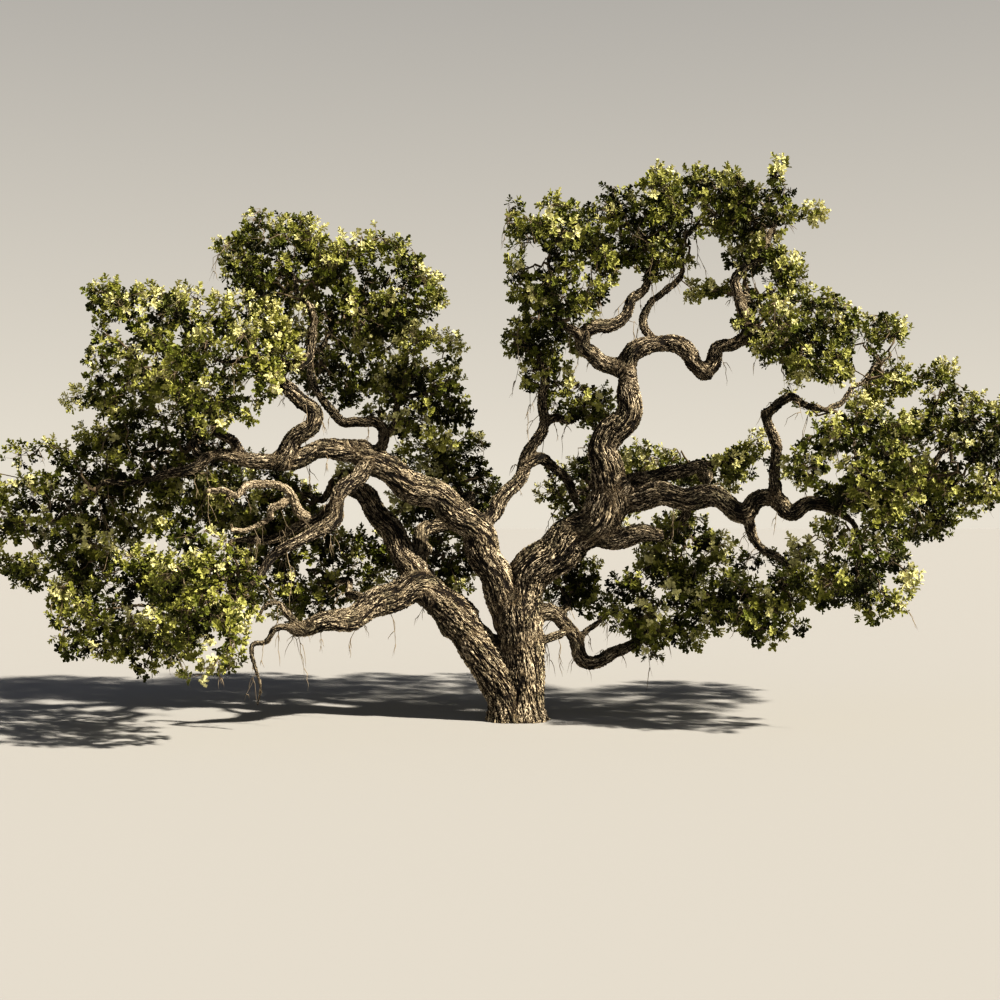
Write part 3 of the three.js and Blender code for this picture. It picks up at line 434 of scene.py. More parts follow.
def meshOf(name, verts, faces):
    mesh = bpy.data.meshes.new(name)
    mesh.from_pydata(verts, [], faces)
    return mesh


def quadMesh(name, points, quads):
    mesh = bpy.data.meshes.new(name)
    mesh.vertices.add(len(points))
    mesh.vertices.foreach_set("co", points.ravel())
    mesh.loops.add(quads.size)
    mesh.loops.foreach_set("vertex_index", quads.ravel())
    mesh.polygons.add(len(quads))
    mesh.polygons.foreach_set("loop_start", np.arange(0, quads.size, 4))
    mesh.update(calc_edges=True)
    return mesh


def store(mesh, label, values):  # an attribute of a mesh's points
    vector = values.ndim == 2
    layer = mesh.attributes.new(label, "FLOAT_VECTOR" if vector else "FLOAT", "POINT")
    layer.data.foreach_set("vector" if vector else "value", values.astype(np.float32).ravel())


def read(items, label, columns=1, kind=np.float32):
    values = np.zeros(len(items) * columns, kind)
    items.foreach_get(label, values)
    return values.reshape(-1, columns) if columns > 1 else values


def objectOf(name, mesh):
    thing = bpy.data.objects.new(name, mesh)
    bpy.context.scene.collection.objects.link(thing)
    return thing


def applied(thing):  # what the modifiers make of an object, as a plain mesh in its place
    bpy.context.view_layer.update()
    seenBy = bpy.context.evaluated_depsgraph_get()
    mesh = bpy.data.meshes.new_from_object(thing.evaluated_get(seenBy), depsgraph=seenBy)
    thing.modifiers.clear()
    old = thing.data
    thing.data = mesh
    bpy.data.meshes.remove(old)
    return thing


def fusedMesh(limbs, voxel, sides):  # the limbs grown into one closed skin
    verts, faces, count = [], [], 0
    for limb in limbs:
        tube, own = tubeOf(limb, sides)
        verts.append(tube)
        faces += [[index + count for index in face] for face in own]
        count += len(tube)
    skin = objectOf("skin", meshOf("skin", np.vstack(verts), faces))
    remesh = skin.modifiers.new("fuse", "REMESH")
    remesh.mode = "VOXEL"
    remesh.voxel_size = voxel
    mesh = applied(skin).data
    points, corners = read(mesh.vertices, "co", 3), read(mesh.loops, "vertex_index", kind=np.int32)
    bpy.data.objects.remove(skin)
    bpy.data.meshes.remove(mesh)
    return points.astype(float), corners.reshape(-1, 4)


def grainOf(points, limbs):  # the nearest two limbs of each point, and where it lies along and round them
    count = len(points)
    nearest, second = (
        {"gap": np.full(count, 9.0), "grain": np.zeros((count, 3)), "plate": np.zeros(count),
         "limb": np.zeros(count, int)} for _ in range(2)
    )
    for order, limb in enumerate(limbs):
        margin = limb["radius"].max() + bark["grainReach"]
        near = (points > limb["points"].min(0) - margin) & (points < limb["points"].max(0) + margin)
        near = np.flatnonzero(near.all(1))
        for some in np.array_split(near, len(near) // 4000 + 1):
            apart = points[some][:, None] - limb["points"][None]
            at = np.einsum("ijk,ijk->ij", apart, apart).argmin(1)
            offset = apart[np.arange(len(some)), at]
            ahead, right, over = (
                np.einsum("ij,ij->i", offset, limb[way][at]) for way in ("headings", "sides", "overs")
            )
            radius, plate = limb["radius"][at], limb["plate"][at]
            past = np.where((at > 0) & (at < len(limb["points"]) - 1), 0, ahead)
            angle = np.arctan2(over, right) + bark["twist"] * limb["along"][at]
            grown = limb["grown"][at] + ahead / (plate * bark["plateLength"]) + bark["limbShift"] * order
            here = {
                "gap": np.sqrt(right ** 2 + over ** 2 + past ** 2) - radius,
                "grain": np.stack([np.cos(angle) * radius / plate, np.sin(angle) * radius / plate, grown], 1),
                "plate": plate, "limb": np.full(len(some), order),
            }
            closest = here["gap"] < nearest["gap"][some]
            runnerUp = ~closest & (here["gap"] < second["gap"][some])
            for key, value in here.items():
                second[key][some[closest]] = nearest[key][some[closest]]
                second[key][some[runnerUp]] = value[runnerUp]
                nearest[key][some[closest]] = value[closest]
    return nearest, second


def edgesOf(quads):
    count = quads.max() + 1
    edges = np.sort(np.concatenate([quads[:, [side, (side + 1) % 4]] for side in range(4)]), 1)
    keys = np.unique(edges[:, 0].astype(np.int64) * count + edges[:, 1])
    return np.stack([keys // count, keys % count], 1)


def meanRound(values, edges):  # the mean of each point's neighbours
    total = np.zeros_like(values)
    for start, end in (edges.T, edges.T[::-1]):
        for axis in range(values.shape[1]):
            total[:, axis] += np.bincount(start, values[end, axis], len(values))
    return total / np.maximum(np.bincount(edges.ravel(), minlength=len(values)), 1)[:, None]


def newTree(name, inputs):  # a tree that takes geometry, these inputs and a material
    tree = bpy.data.node_groups.new(name, "GeometryNodeTree")
    tree.interface.new_socket("Geometry", in_out="OUTPUT", socket_type="NodeSocketGeometry")
    for label, kind in {"Geometry": "Geometry", **inputs, "Material": "Material"}.items():
        tree.interface.new_socket(label, in_out="INPUT", socket_type="NodeSocket" + kind)
    return tree, tree.nodes.new("NodeGroupInput")


def finishTree(tree, start, geometry):
    real = addNode(tree, "GeometryNodeRealizeInstances", geometry)
    dressed = addNode(tree, "GeometryNodeSetMaterial", real.outputs[0])
    tree.links.new(start.outputs["Material"], dressed.inputs["Material"])
    tree.links.new(dressed.outputs[0], tree.nodes.new("NodeGroupOutput").inputs[0])
    return tree


def addNode(tree, kind, *inputs, **settings):  # its first inputs are links or values; None leaves one be
    node = tree.nodes.new(kind)
    for label, value in settings.items():
        setattr(node, label, value)
    for socket, value in zip([s for s in node.inputs if s.enabled], inputs):
        if isinstance(value, bpy.types.NodeSocket):
            tree.links.new(value, socket)
        elif value is not None:
            socket.default_value = value
    return node


def outOf(node):  # its first output that is in use
    return next(socket for socket in node.outputs if socket.enabled)


def runTree(thing, tree, values):  # applies a tree to an object, with its named inputs
    modifier = thing.modifiers.new(tree.name, "NODES")
    modifier.node_group = tree
    for item in tree.interface.items_tree:
        if item.in_out == "INPUT" and item.name in values:
            modifier[item.identifier] = values[item.name]
    return applied(thing)


def mathOf(tree, operation, *inputs):
    return addNode(tree, "ShaderNodeMath", *inputs, operation=operation).outputs[0]


def vectorOf(tree, operation, *inputs):
    return outOf(addNode(tree, "ShaderNodeVectorMath", *inputs, operation=operation))


def blendOf(tree, first, second, share):
    apart = mathOf(tree, "SUBTRACT", second, first)
    return mathOf(tree, "ADD", first, mathOf(tree, "MULTIPLY", apart, share))


def noise(tree, place, settings, output=0):  # settings: its detail, roughness and lacunarity
    return addNode(tree, "ShaderNodeTexNoise", place, None, *settings).outputs[output]


def softStep(tree, value, end):  # 0 at 0 and 1 from end on
    return addNode(tree, "ShaderNodeMapRange", value, 0.0, end, interpolation_type="SMOOTHSTEP").outputs[0]


def attribute(tree, label, kind="FLOAT"):
    return outOf(addNode(tree, "GeometryNodeInputNamedAttribute", label, data_type=kind))


def ridgesOn(tree, grain, look):  # interlaced ridges along the grain: 0 in a furrow and 1 on a ridge
    shift = vectorOf(tree, "SUBTRACT", noise(tree, grain, look["bends"], "Color"), (0.5, 0.5, 0.5))
    bent = vectorOf(tree, "ADD", grain, vectorOf(tree, "MULTIPLY", shift, look["wander"]))
    strand = noise(tree, bent, look["strands"])
    apart = mathOf(tree, "ABSOLUTE", mathOf(tree, "SUBTRACT", strand, 0.5))
    cells = addNode(tree, "ShaderNodeTexVoronoi", bent, feature="DISTANCE_TO_EDGE")
    cells.inputs["Scale"].default_value = look["plates"]
    cracks = softStep(tree, cells.outputs["Distance"], look["crackWidth"])
    return mathOf(tree, "MULTIPLY", softStep(tree, apart, look["furrowWidth"]), cracks)


def barkReliefTree(look):
    tree, start = newTree("barkRelief", {"Depth": "Float", "Lumps": "Float"})
    ridges = [ridgesOn(tree, attribute(tree, grain, "FLOAT_VECTOR"), look) for grain in ("grainA", "grainB")]
    shareB = attribute(tree, "shareB")
    height = mathOf(tree, "SUBTRACT", blendOf(tree, *ridges, shareB), look["middle"])
    lump = mathOf(tree, "SUBTRACT", noise(tree, None, look["lumpNoise"]), 0.5)
    lump = mathOf(tree, "MULTIPLY", lump, start.outputs["Lumps"])
    lift = mathOf(tree, "ADD", mathOf(tree, "MULTIPLY", height, start.outputs["Depth"]), lump)
    lift = mathOf(tree, "MULTIPLY", lift, attribute(tree, "plate"))
    lift = mathOf(tree, "MULTIPLY", lift, mathOf(tree, "SUBTRACT", 1.0, shareB))
    normal = tree.nodes.new("GeometryNodeInputNormal").outputs[0]
    push = addNode(tree, "ShaderNodeVectorMath", normal, operation="SCALE")
    tree.links.new(lift, push.inputs["Scale"])
    moved = addNode(tree, "GeometryNodeSetPosition", start.outputs["Geometry"])
    tree.links.new(push.outputs[0], moved.inputs["Offset"])
    return finishTree(tree, start, moved.outputs[0])


def material(name, roughness):
    made = bpy.data.materials.new(name)
    made.use_nodes = True
    shader = made.node_tree.nodes["Principled BSDF"]
    shader.inputs["Roughness"].default_value = roughness
    return made, made.node_tree, shader


def ramp(tree, factor, stops):
    node = addNode(tree, "ShaderNodeValToRGB", factor)
    while len(node.color_ramp.elements) < len(stops):
        node.color_ramp.elements.new(0.5)
    for element, (at, colour) in zip(node.color_ramp.elements, stops):
        element.position = at
        element.color = (*colour, 1)
    return node.outputs[0]


def mixColour(tree, blend, factor, first, second):
    node = addNode(tree, "ShaderNodeMix", data_type="RGBA", blend_type=blend)
    for socket, value in zip((node.inputs[0], node.inputs[6], node.inputs[7]), (factor, first, second)):
        if isinstance(value, bpy.types.NodeSocket):
            tree.links.new(value, socket)
        else:
            socket.default_value = value if isinstance(value, float) else (*value, 1)
    return node.outputs[2]


def addBump(tree, shader, relief, strength, depth):
    bump = tree.nodes.new("ShaderNodeBump")
    bump.inputs["Strength"].default_value = strength
    bump.inputs["Distance"].default_value = depth
    tree.links.new(relief, bump.inputs["Height"])
    tree.links.new(bump.outputs[0], shader.inputs["Normal"])


def woodMaterial(name, look):  # furrowed bark, or the smoother wood of a dead limb
    made, tree, shader = material(name, look["roughness"])
    place = tree.nodes.new("ShaderNodeTexCoord").outputs["Object"]
    grains = [
        addNode(tree, "ShaderNodeAttribute", attribute_name=label).outputs["Vector"]
        for label in ("grainA", "grainB")
    ]
    shareB = addNode(tree, "ShaderNodeAttribute", attribute_name="shareB").outputs["Fac"]
    height = blendOf(tree, *(ridgesOn(tree, grain, look) for grain in grains), shareB)
    streaks = vectorOf(tree, "MULTIPLY", grains[0], (1, 1, look["streaks"]))
    fine = noise(tree, streaks, look["streakNoise"])
    # painted shade and light: the colour follows the ridges, near black in the furrows and pale on the
    # ridges, partly the bark's own colour
    shade = mathOf(tree, "MULTIPLY", height, look["ridgeShade"])
    shade = mathOf(tree, "ADD", shade, mathOf(tree, "MULTIPLY", fine, look["streakShade"]))
    shade = mathOf(tree, "ADD", shade, mathOf(tree, "MULTIPLY", shareB, look["forkShade"]))
    patches = ramp(tree, noise(tree, place, look["patches"]), look["tones"])
    toned = mixColour(tree, "MULTIPLY", 1.0, ramp(tree, shade, look["colours"]), patches)
    tree.links.new(toned, shader.inputs["Base Color"])
    relief = mathOf(tree, "ADD", height, mathOf(tree, "MULTIPLY", fine, look["streakRelief"]))
    grit = noise(tree, place, look["grit"])
    relief = mathOf(tree, "ADD", relief, mathOf(tree, "MULTIPLY", grit, look["gritRelief"]))
    addBump(tree, shader, relief, look["bump"], look["bumpDepth"])
    return made


barkLook = {
    "roughness": 0.92, "furrowWidth": 0.12, "plates": 0.42, "crackWidth": 0.07,
    "bends": (0.6, 1.0), "strands": (0.75, 1.0, 0.45),  # detail, roughness and lacunarity of these noises
    "lumpNoise": (2.6, 2.0), "streakNoise": (2.6, 2.0, 0.55), "patches": (1.3, 3.0, 0.6), "grit": (90.0, 3.0),
    "wander": (0.75, 0.75, 0.3), "depth": 0.45, "lumps": 1.4,  # shares of a ridge's width
    "middle": 0.65,  # the height that stays where the limb's own skin is
    "ridgeShade": 0.8, "streakShade": 0.2, "forkShade": 0.25,  # how much lighter each of them is
    "streakRelief": 0.4, "gritRelief": 0.08,  # their heights beside a ridge's
    "bump": 1.0, "bumpDepth": 0.03, "streaks": 0.4,  # how long its fine streaks are: less is longer
    # from furrow to ridge: the near-black furrow colour is painted shade and the pale ridge colour partly
    # painted light, both partly the bark's own colour
    "colours": [(0.2, (0.009, 0.005, 0.003)), (0.48, (0.055, 0.035, 0.019)), (0.7, (0.32, 0.245, 0.15)),
        (0.92, (0.82, 0.71, 0.54))],
    "tones": [(0.32, (0.45, 0.46, 0.42)), (0.48, (0.8, 0.78, 0.74)), (0.62, (1, 1, 1))],
}
deadLook = {
    **barkLook, "roughness": 0.85, "strands": (0.8, 1.0, 0.45),
    "furrowWidth": 0.06, "plates": 0.5, "crackWidth": 0.05,
    "wander": (0.8, 0.8, 0.3), "lumps": 2.6, "bump": 0.9, "bumpDepth": 0.015,
    # the dark furrow colour is painted shade and the pale ridge colour partly painted light, both partly the
    # weathered wood's own colour
    "colours": [(0.1, (0.045, 0.032, 0.022)), (0.5, (0.27, 0.215, 0.145)), (0.9, (0.6, 0.51, 0.38))],
    "tones": [(0.3, (0.75, 0.73, 0.7)), (0.6, (1, 1, 1))],
}


def barkedMesh(name, limbs, voxel, sides, look):
    points, quads = fusedMesh(limbs, voxel, sides)
    edges = edgesOf(quads)
    nearest, second = grainOf(points, limbs)
    forkReach = bark["forkReach"] + bark["forkShare"] * nearest["plate"]
    forks = 1 - np.clip((second["gap"] - nearest["gap"]) / forkReach, 0, 1)
    for _ in range(bark["forkRounds"]):
        points += forks[:, None] * bark["forkPull"] * (meanRound(points, edges) - points)
    nearest, second = grainOf(points, limbs)
    mesh = quadMesh(name, points, quads)
    store(mesh, "grainA", nearest["grain"])
    store(mesh, "grainB", second["grain"])
    store(mesh, "shareB", 0.5 * (1 - np.clip((second["gap"] - nearest["gap"]) / bark["forkBlend"], 0, 1)))
    store(mesh, "plate", nearest["plate"])
    thing = runTree(objectOf(name, mesh), barkReliefTree(look), {
        "Depth": look["depth"], "Lumps": look["lumps"], "Material": look["material"],
    })
    return thing, nearest["limb"], edges, quads


def closeOff(shape):  # fills each open ring with a fan to its middle, which lies inside the wood
    loose = {edge.index: edge for edge in shape.edges if edge.is_boundary}
    while loose:
        ring, reached = [], [loose.popitem()[1]]
        while reached:
            ring.append(reached.pop())
            for corner in ring[-1].verts:
                reached += [loose.pop(edge.index) for edge in corner.link_edges if edge.index in loose]
        corners = {corner.index: corner.co for edge in ring for corner in edge.verts}
        middle = shape.verts.new(sum(corners.values(), Vector()) / len(corners))
        for edge in ring:
            loop = edge.link_loops[0]
            shape.faces.new((loop.link_loop_next.vert, loop.vert, middle))


def splitBy(thing, faceLabels, quads, names, look):  # closed pieces of one skin, cut where the label changes
    points = read(thing.data.vertices, "co", 3)
    layers = {label: read(thing.data.attributes[label].data, "vector", 3) for label in ("grainA", "grainB")}
    layers["shareB"] = read(thing.data.attributes["shareB"].data, "value")
    pieces = {}
    for label, name in enumerate(names):
        used, corners = np.unique(quads[faceLabels == label], return_inverse=True)
        part = quadMesh(name, points[used], corners.reshape(-1, 4))
        for key, values in layers.items():
            store(part, key, values[used])
        shape = bmesh.new()
        shape.from_mesh(part)
        if points[used][:, 2].min() < 0:
            everything = shape.verts[:] + shape.edges[:] + shape.faces[:]
            bmesh.ops.bisect_plane(
                shape, geom=everything, plane_co=(0, 0, 0), plane_no=(0, 0, 1), clear_inner=True,
            )
        shape.verts.index_update()
        shape.edges.index_update()
        closeOff(shape)
        left = sum(not edge.is_manifold for edge in shape.edges)
        shape.to_mesh(part)
        shape.free()
        part.materials.append(look["material"])
        part.shade_smooth()
        pieces[name] = objectOf(name, part)
        print(f"{name}: {len(part.polygons)} faces, {left} open edges")
    bpy.data.objects.remove(thing)
    return pieces


barkLook["material"] = woodMaterial("oakBark", barkLook)
deadLook["material"] = woodMaterial("weatheredWood", deadLook)
skin, nearestLimb, skinEdges, skinQuads = barkedMesh("wood", limbs, bark["voxel"], bark["sides"], barkLook)
names = list(woodPieces)
pieceOf = [next(i for i, held in enumerate(woodPieces.values()) if limb["name"] in held) for limb in limbs]
votes = np.eye(len(names))[np.array(pieceOf)[nearestLimb]]
for _ in range(bark["cutRounds"]):
    votes = np.eye(len(names))[(votes + 2 * meanRound(votes, skinEdges)).argmax(1)]
wood = splitBy(skin, votes[skinQuads].sum(1).argmax(1), skinQuads, names, barkLook)
for name, piece in wood.items():
    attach(piece, "root")
    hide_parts(*woodPieces[name])
skin, _, _, skinQuads = barkedMesh("dead", deadLimbs, bark["deadVoxel"], bark["deadSides"], deadLook)
dead = splitBy(skin, np.zeros(len(skinQuads), int), skinQuads, ["wood_left_pale"], deadLook)["wood_left_pale"]
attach(dead, "root")
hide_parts("bough_left_pale")
print("grew the trunk and limbs")

growth = {
    "seed": 5, "clumpsPerArea": 1.5,  # clumps of twigs for each square metre of a mass's outside
    "clumpOut": (0.35, 1.02), "clumpReach": (0.23, 0.46), "flatten": 0.8, "clumpStray": 0.08,
    "bareStem": 0.35,  # the share of a stem, from its root, that bears no clumps
    "branchSteps": 7, "branchRadii": (0.05, 0.012), "branchShare": 0.85,  # of the radius of what bears it
    "wander": 0.18, "rise": 0.5, "crook": 0.6,  # how far a branch strays, also upwards, and how it bends
    "spraysPerClump": 15.5, "twigReach": (0.45, 1), "twigStray": 0.25, "twigPush": 0.1,  # outwards
    "twigRadius": 0.006, "twigTaper": (1, 0.7, 0.4),
    "knee": 0.55, "kneeStray": 0.04, "kneeSag": 0.02,  # where a twig bends, and how far aside and down
    "up": 0.35, "outward": 0.35, "unruly": 0.25,  # how far sprays turn to the light, and how evenly
    "margin": 0.015, "pullIn": 0.08,
    "alone": 1.0, "between": 1.34, "beside": 1.65,  # how far out wood may be, also where another mass is near
    "stray": 0.08,  # how much further out a spray may be
    "edge": 0.2,  # kept free inside the outermost box
    "lonerFill": 1.6, "spraySize": (0.8, 1.2), "paintedTopLight": 0.35,  # how much lighter a clump's top is painted, as if sunlit
    "clumpShade": 0.28, "sprayShade": 0.32,  # how much clumps and sprays differ at random in their painted light
}
skyGaps = {  # where the sky shows: middle and half size, across and in height, at the trunk's distance
    "heart": [(3.64, 6.27), (1.2, 0.98)],
    "aboveArch": [(3.5, 7.74), (0.85, 0.42)],
    "upperWindow": [(3.82, 9.33), (0.32, 0.4)],
    "aboveSwing": [(4.0, 8.15), (0.32, 0.35)],
    "underShoulder": [(5.05, 6.85), (0.35, 0.25)],
    "forkWindow": [(3.14, 8.53), (0.22, 0.27)],
    "crownWindow": [(2.24, 8.86), (0.25, 0.2)],
    "crownElbow": [(2.0, 8.24), (0.28, 0.28)],
    "belowElbow": [(2.0, 7.53), (0.48, 0.33)],
    "besidePost": [(5.55, 5.9), (0.34, 0.36)],
    "belowShelf": [(6.0, 6.54), (0.37, 0.2)],
    "leftOfCrook": [(-4.76, 5.92), (0.46, 0.47)],
    "rightOfCrook": [(-3.83, 5.8), (0.27, 0.27)],
    "belowCrook": [(-3.98, 4.95), (0.38, 0.2)],
    "betweenCrowns": [(-0.9, 9.4), (0.62, 1.9)],
    "betweenCrownsLow": [(-0.68, 6.9), (0.36, 0.85)],
    "topLeftWindow": [(0.36, 9.26), (0.25, 0.3)],
    "centreTop": [(1.45, 6.87), (0.35, 0.22)],
    "leftOfPost": [(-0.2, 6.9), (0.25, 0.4)],
    "underCentre": [(1.15, 5.6), (0.22, 0.32)],
    "topCorner": [(6.5, 11.1), (0.75, 0.75)],
    "rightCorner": [(9.75, 7.1), (0.75, 0.6)],
    "topNotch": [(4.75, 11.05), (0.28, 0.3)],
    "farLeft": [(-9.16, 7.9), (0.6, 1.1)],
    "leftShoulder": [(-5.9, 10.16), (0.4, 0.5)],
    "rightShoulder": [(6.2, 9.35), (0.4, 0.42)],
    "leftTop": [(-4.5, 10.75), (1.3, 0.6)],
    "leftCrownCorner": [(-1.6, 9.75), (0.5, 0.7)],
    "topMiddle": [(2.1, 11.15), (0.55, 0.5)],
    "topRight": [(3.95, 11.5), (0.6, 0.4)],
    "overLoner": [(5.65, 10.85), (0.3, 0.3)],
    "underLoner": [(5.5, 9.66), (0.24, 0.28)],
    "knobTop": [(7.5, 8.5), (0.8, 0.35)],
    "besideKnob": [(8.0, 7.38), (0.3, 0.3)],
    "shoulderKnob": [(6.85, 7.2), (0.16, 0.6)],
}
loners = {  # clumps beside the masses, each with its place and reach, mostly where boughs come close
    "foliage_right_top_edge": [([5.9, 0.1, 10.16], 0.33)],
    "foliage_left_front": [
        ([-4.85, -1.7, 7.75], 0.45), ([-4.68, -1.4, 7.25], 0.4), ([-5.05, -1.2, 8.2], 0.4),
    ],
    "foliage_left_inner": [([-4.75, 1.6, 7.6], 0.4)],
    "foliage_left_upper": [([-7.35, -0.9, 6.65], 0.42)],
    "foliage_left_mid": [
        ([-7.45, -0.6, 5.5], 0.4), ([-7.2, -0.5, 4.0], 0.42),
        ([-6.75, -0.3, 3.85], 0.4), ([-7.7, -0.2, 3.85], 0.4),
    ],
    "foliage_left_skirt": [([-7.65, -0.6, 2.75], 0.42), ([-7.3, 0.4, 2.6], 0.4)],
    "foliage_left_top_right": [([-2.7, -0.9, 8.35], 0.35)],
    "foliage_left_shoulder": [([-2.5, 0.1, 6.8], 0.35)],
    "foliage_left_back": [([-3.42, 1.15, 5.0], 0.32)],
    "foliage_centre_low": [([-2.62, 1.3, 3.9], 0.36), ([-2.3, 1.4, 4.32], 0.3), ([-2.75, 1.4, 3.35], 0.32)],
    "foliage_right_top_left": [([1.3, -0.5, 8.35], 0.3)],
    "foliage_right_top": [([3.0, 0.3, 9.25], 0.35), ([3.5, 0.4, 8.5], 0.22)],
    "foliage_right_inner": [([3.95, 0.2, 8.62], 0.3), ([5.35, 0.2, 9.05], 0.35)],
    "foliage_right_far": [([9.2, -0.9, 5.45], 0.4), ([8.55, 0.2, 7.0], 0.3)],
}
goldenAngle = np.pi * (3 - 5 ** 0.5)
lowest, highest = (np.array(corner) for corner in cadBox)
room = 0.03 * (highest - lowest) + 0.01 - growth["edge"]
gapMiddles, gapHalves = (np.array(sizes) for sizes in zip(*skyGaps.values()))
centres = np.vstack([seen(mass["at"]) for mass in masses.values()])
reaches = [1 + mass["at"][1] / eye["distance"] for mass in masses.values()]
halves = np.array([mass["half"] for mass in masses.values()]) * [[reach, 1, reach] for reach in reaches]


def depths(points):  # how far out each point lies in each mass: 0 at its middle and 1 at its edge
    return np.linalg.norm((points[:, None] - centres) / halves, axis=2)


def within(nearest, second, stray=0):  # inside a mass, or a little outside it between two masses
    between = (nearest < growth["between"] + stray) & (second < growth["beside"])
    return (nearest < growth["alone"] + stray) | between


def keepsTo(point, order):
    out = depths(point[None])[0]
    own, others = out[order], np.delete(out, order).min()
    return within(own, others) and others > own + growth["margin"]


def inGap(points):
    return ((((laidOut(points)[:, None] - gapMiddles) / gapHalves) ** 2).sum(2) < 1).any(1)


def inRoom(points):
    return ((points > lowest - room) & (points < highest + room)).all(1) & (points[:, 2] > 0.3)


def evenDirections(count, turn):
    rise = 1 - 2 * (np.arange(count) + 0.5) / count
    level = np.sqrt(1 - rise ** 2)
    angle = np.arange(count) * goldenAngle + turn
    return np.stack([level * np.cos(angle), level * np.sin(angle), rise], 1)


branches = {"paths": [], "radii": []}
twigPaths = []
sprays = {"at": [], "heading": [], "size": [], "light": []}


def growBranch(random, start, end, radii):  # crooked, most of all in its middle, and rather upwards
    share = np.linspace(0, 1, growth["branchSteps"])[:, None]
    length = np.linalg.norm(end - start)
    path = start + (end - start) * share
    crooks = random.normal(size=path.shape) * growth["wander"] * length
    crooks[:, 2] += growth["rise"] * growth["wander"] * length
    path += crooks * np.sin(np.pi * share) * growth["crook"]
    radius = radii[1] + (radii[0] - radii[1]) * (1 - share[:, 0]) ** 0.8
    branches["paths"].append(path)
    branches["radii"].append(radius)
    return path, radius


for order, (name, centre, half) in enumerate(zip(masses, centres, halves)):
    random = np.random.default_rng(growth["seed"] + order)
    stem = stems[name]
    free = stem["along"] > growth["bareStem"] * stem["along"][-1]
    grown, grownRadius = stem["points"][free], stem["radius"][free]
    a, b, c = half ** 1.6
    area = 4 * np.pi * ((a * b + a * c + b * c) / 3) ** (1 / 1.6)  # of the mass's outside
    low, high = growth["clumpOut"]
    spots = []
    for direction in evenDirections(int(round(area * growth["clumpsPerArea"])), random.random() * 6):
        out = low + (high - low) * random.random() ** 0.6
        spot = centre + direction * out * half
        spot += random.normal(size=3) * growth["clumpStray"]
        while not keepsTo(spot, order):
            spot += (centre - spot) * growth["pullIn"]
        spots.append(spot)
    spots.sort(key=lambda spot: np.linalg.norm(spot - stem["points"][0]))
    spots = [
        (spot, random.uniform(*growth["clumpReach"]), False) for spot in spots if not inGap(spot[None])[0]
    ]
    spots += [(seen(at)[0], reach, True) for at, reach in loners.get(name, [])]
    for spot, reach, alone in spots:
        nearest = np.linalg.norm(grown - spot, axis=1).argmin()
        start = min(grownRadius[nearest] * growth["branchShare"], growth["branchRadii"][0])
        path, radius = growBranch(random, grown[nearest], spot, (start, growth["branchRadii"][1]))
        grown = np.vstack([grown, path[2:]])
        grownRadius = np.concatenate([grownRadius, radius[2:]])
        fill = growth["spraysPerClump"] * (growth["lonerFill"] if alone else 1)
        count = int(fill * (reach / np.mean(growth["clumpReach"])) ** 2)
        ways = evenDirections(count, random.random() * 6)
        ways += random.normal(size=(count, 3)) * growth["twigStray"]
        far = reach * random.uniform(*growth["twigReach"], (count, 1)) ** 0.6
        tips = spot + unit(ways) * far * [1, 1, growth["flatten"]]
        outward = unit((spot - centre) / half)
        tips += outward * growth["twigPush"] * reach
        out = np.sort(depths(tips), 1)
        tips = tips[inRoom(tips) & ~inGap(tips) & (within(out[:, 0], out[:, 1], growth["stray"]) | alone)]
        if not len(tips):
            continue
        feet = path[3:][np.linalg.norm(tips[:, None] - path[3:], axis=2).argmin(1)]
        knees = feet + (tips - feet) * growth["knee"] + random.normal(size=tips.shape) * growth["kneeStray"]
        knees[:, 2] -= growth["kneeSag"]
        twigPaths.append(np.stack([feet, knees, tips], 1))
        sprays["at"].append(tips)
        sprays["heading"].append(unit(
            unit(tips - knees) + growth["outward"] * outward + [0, 0, growth["up"]]
            + random.normal(size=tips.shape) * growth["unruly"]
        ))
        sprays["size"].append(random.uniform(*growth["spraySize"], len(tips)))
        # painted light: a spray further out in its mass and higher on its clump gets a lighter tint, as if
        # sunlit; one further in gets a darker tint, painted shade; clumps and sprays also differ at random
        light = depths(tips).min(1) + growth["paintedTopLight"] * unit(tips - spot)[:, 2]
        light += random.normal() * growth["clumpShade"]
        sprays["light"].append(light + random.normal(size=len(tips)) * growth["sprayShade"])
sprays = {key: np.concatenate(value) for key, value in sprays.items()}
print(f"grew {len(branches['paths'])} branches and {len(sprays['at'])} sprays")


def tubesMesh(name, paths, radii, sides):  # closed tubes that run out in a point
    paths, radii = np.array(paths), np.array(radii)
    count, steps, _ = paths.shape
    headings = unit(np.gradient(paths, axis=1))
    side = unit(np.cross(headings, unit(headings.mean(1) + [0.3, 0.2, 1.1])[:, None]))
    over = np.cross(headings, side)
    angles = np.linspace(0, 2 * np.pi, sides, endpoint=False)[:, None]
    rings = np.cos(angles) * side[:, :, None] + np.sin(angles) * over[:, :, None]
    rings = paths[:, :, None] + rings * radii[:, :, None, None]
    verts = np.concatenate([rings[:, :-1].reshape(count, -1, 3), paths[:, -1:]], 1)
    first = np.arange(count)[:, None] * verts.shape[1]
    turn, following = np.arange(sides), (np.arange(sides) + 1) % sides
    faces = []
    for low in range(0, (steps - 2) * sides, sides):
        quads = np.stack([low + turn, low + following, low + sides + following, low + sides + turn], 1)
        faces += (first[:, :, None] + quads).reshape(-1, 4).tolist()
    low = (steps - 2) * sides
    ends = np.stack([low + turn, low + following, np.full(sides, low + sides)], 1)
    faces += (first[:, :, None] + ends).reshape(-1, 3).tolist()
    faces += (first + turn[::-1]).tolist()
    return meshOf(name, verts.reshape(-1, 3), faces)


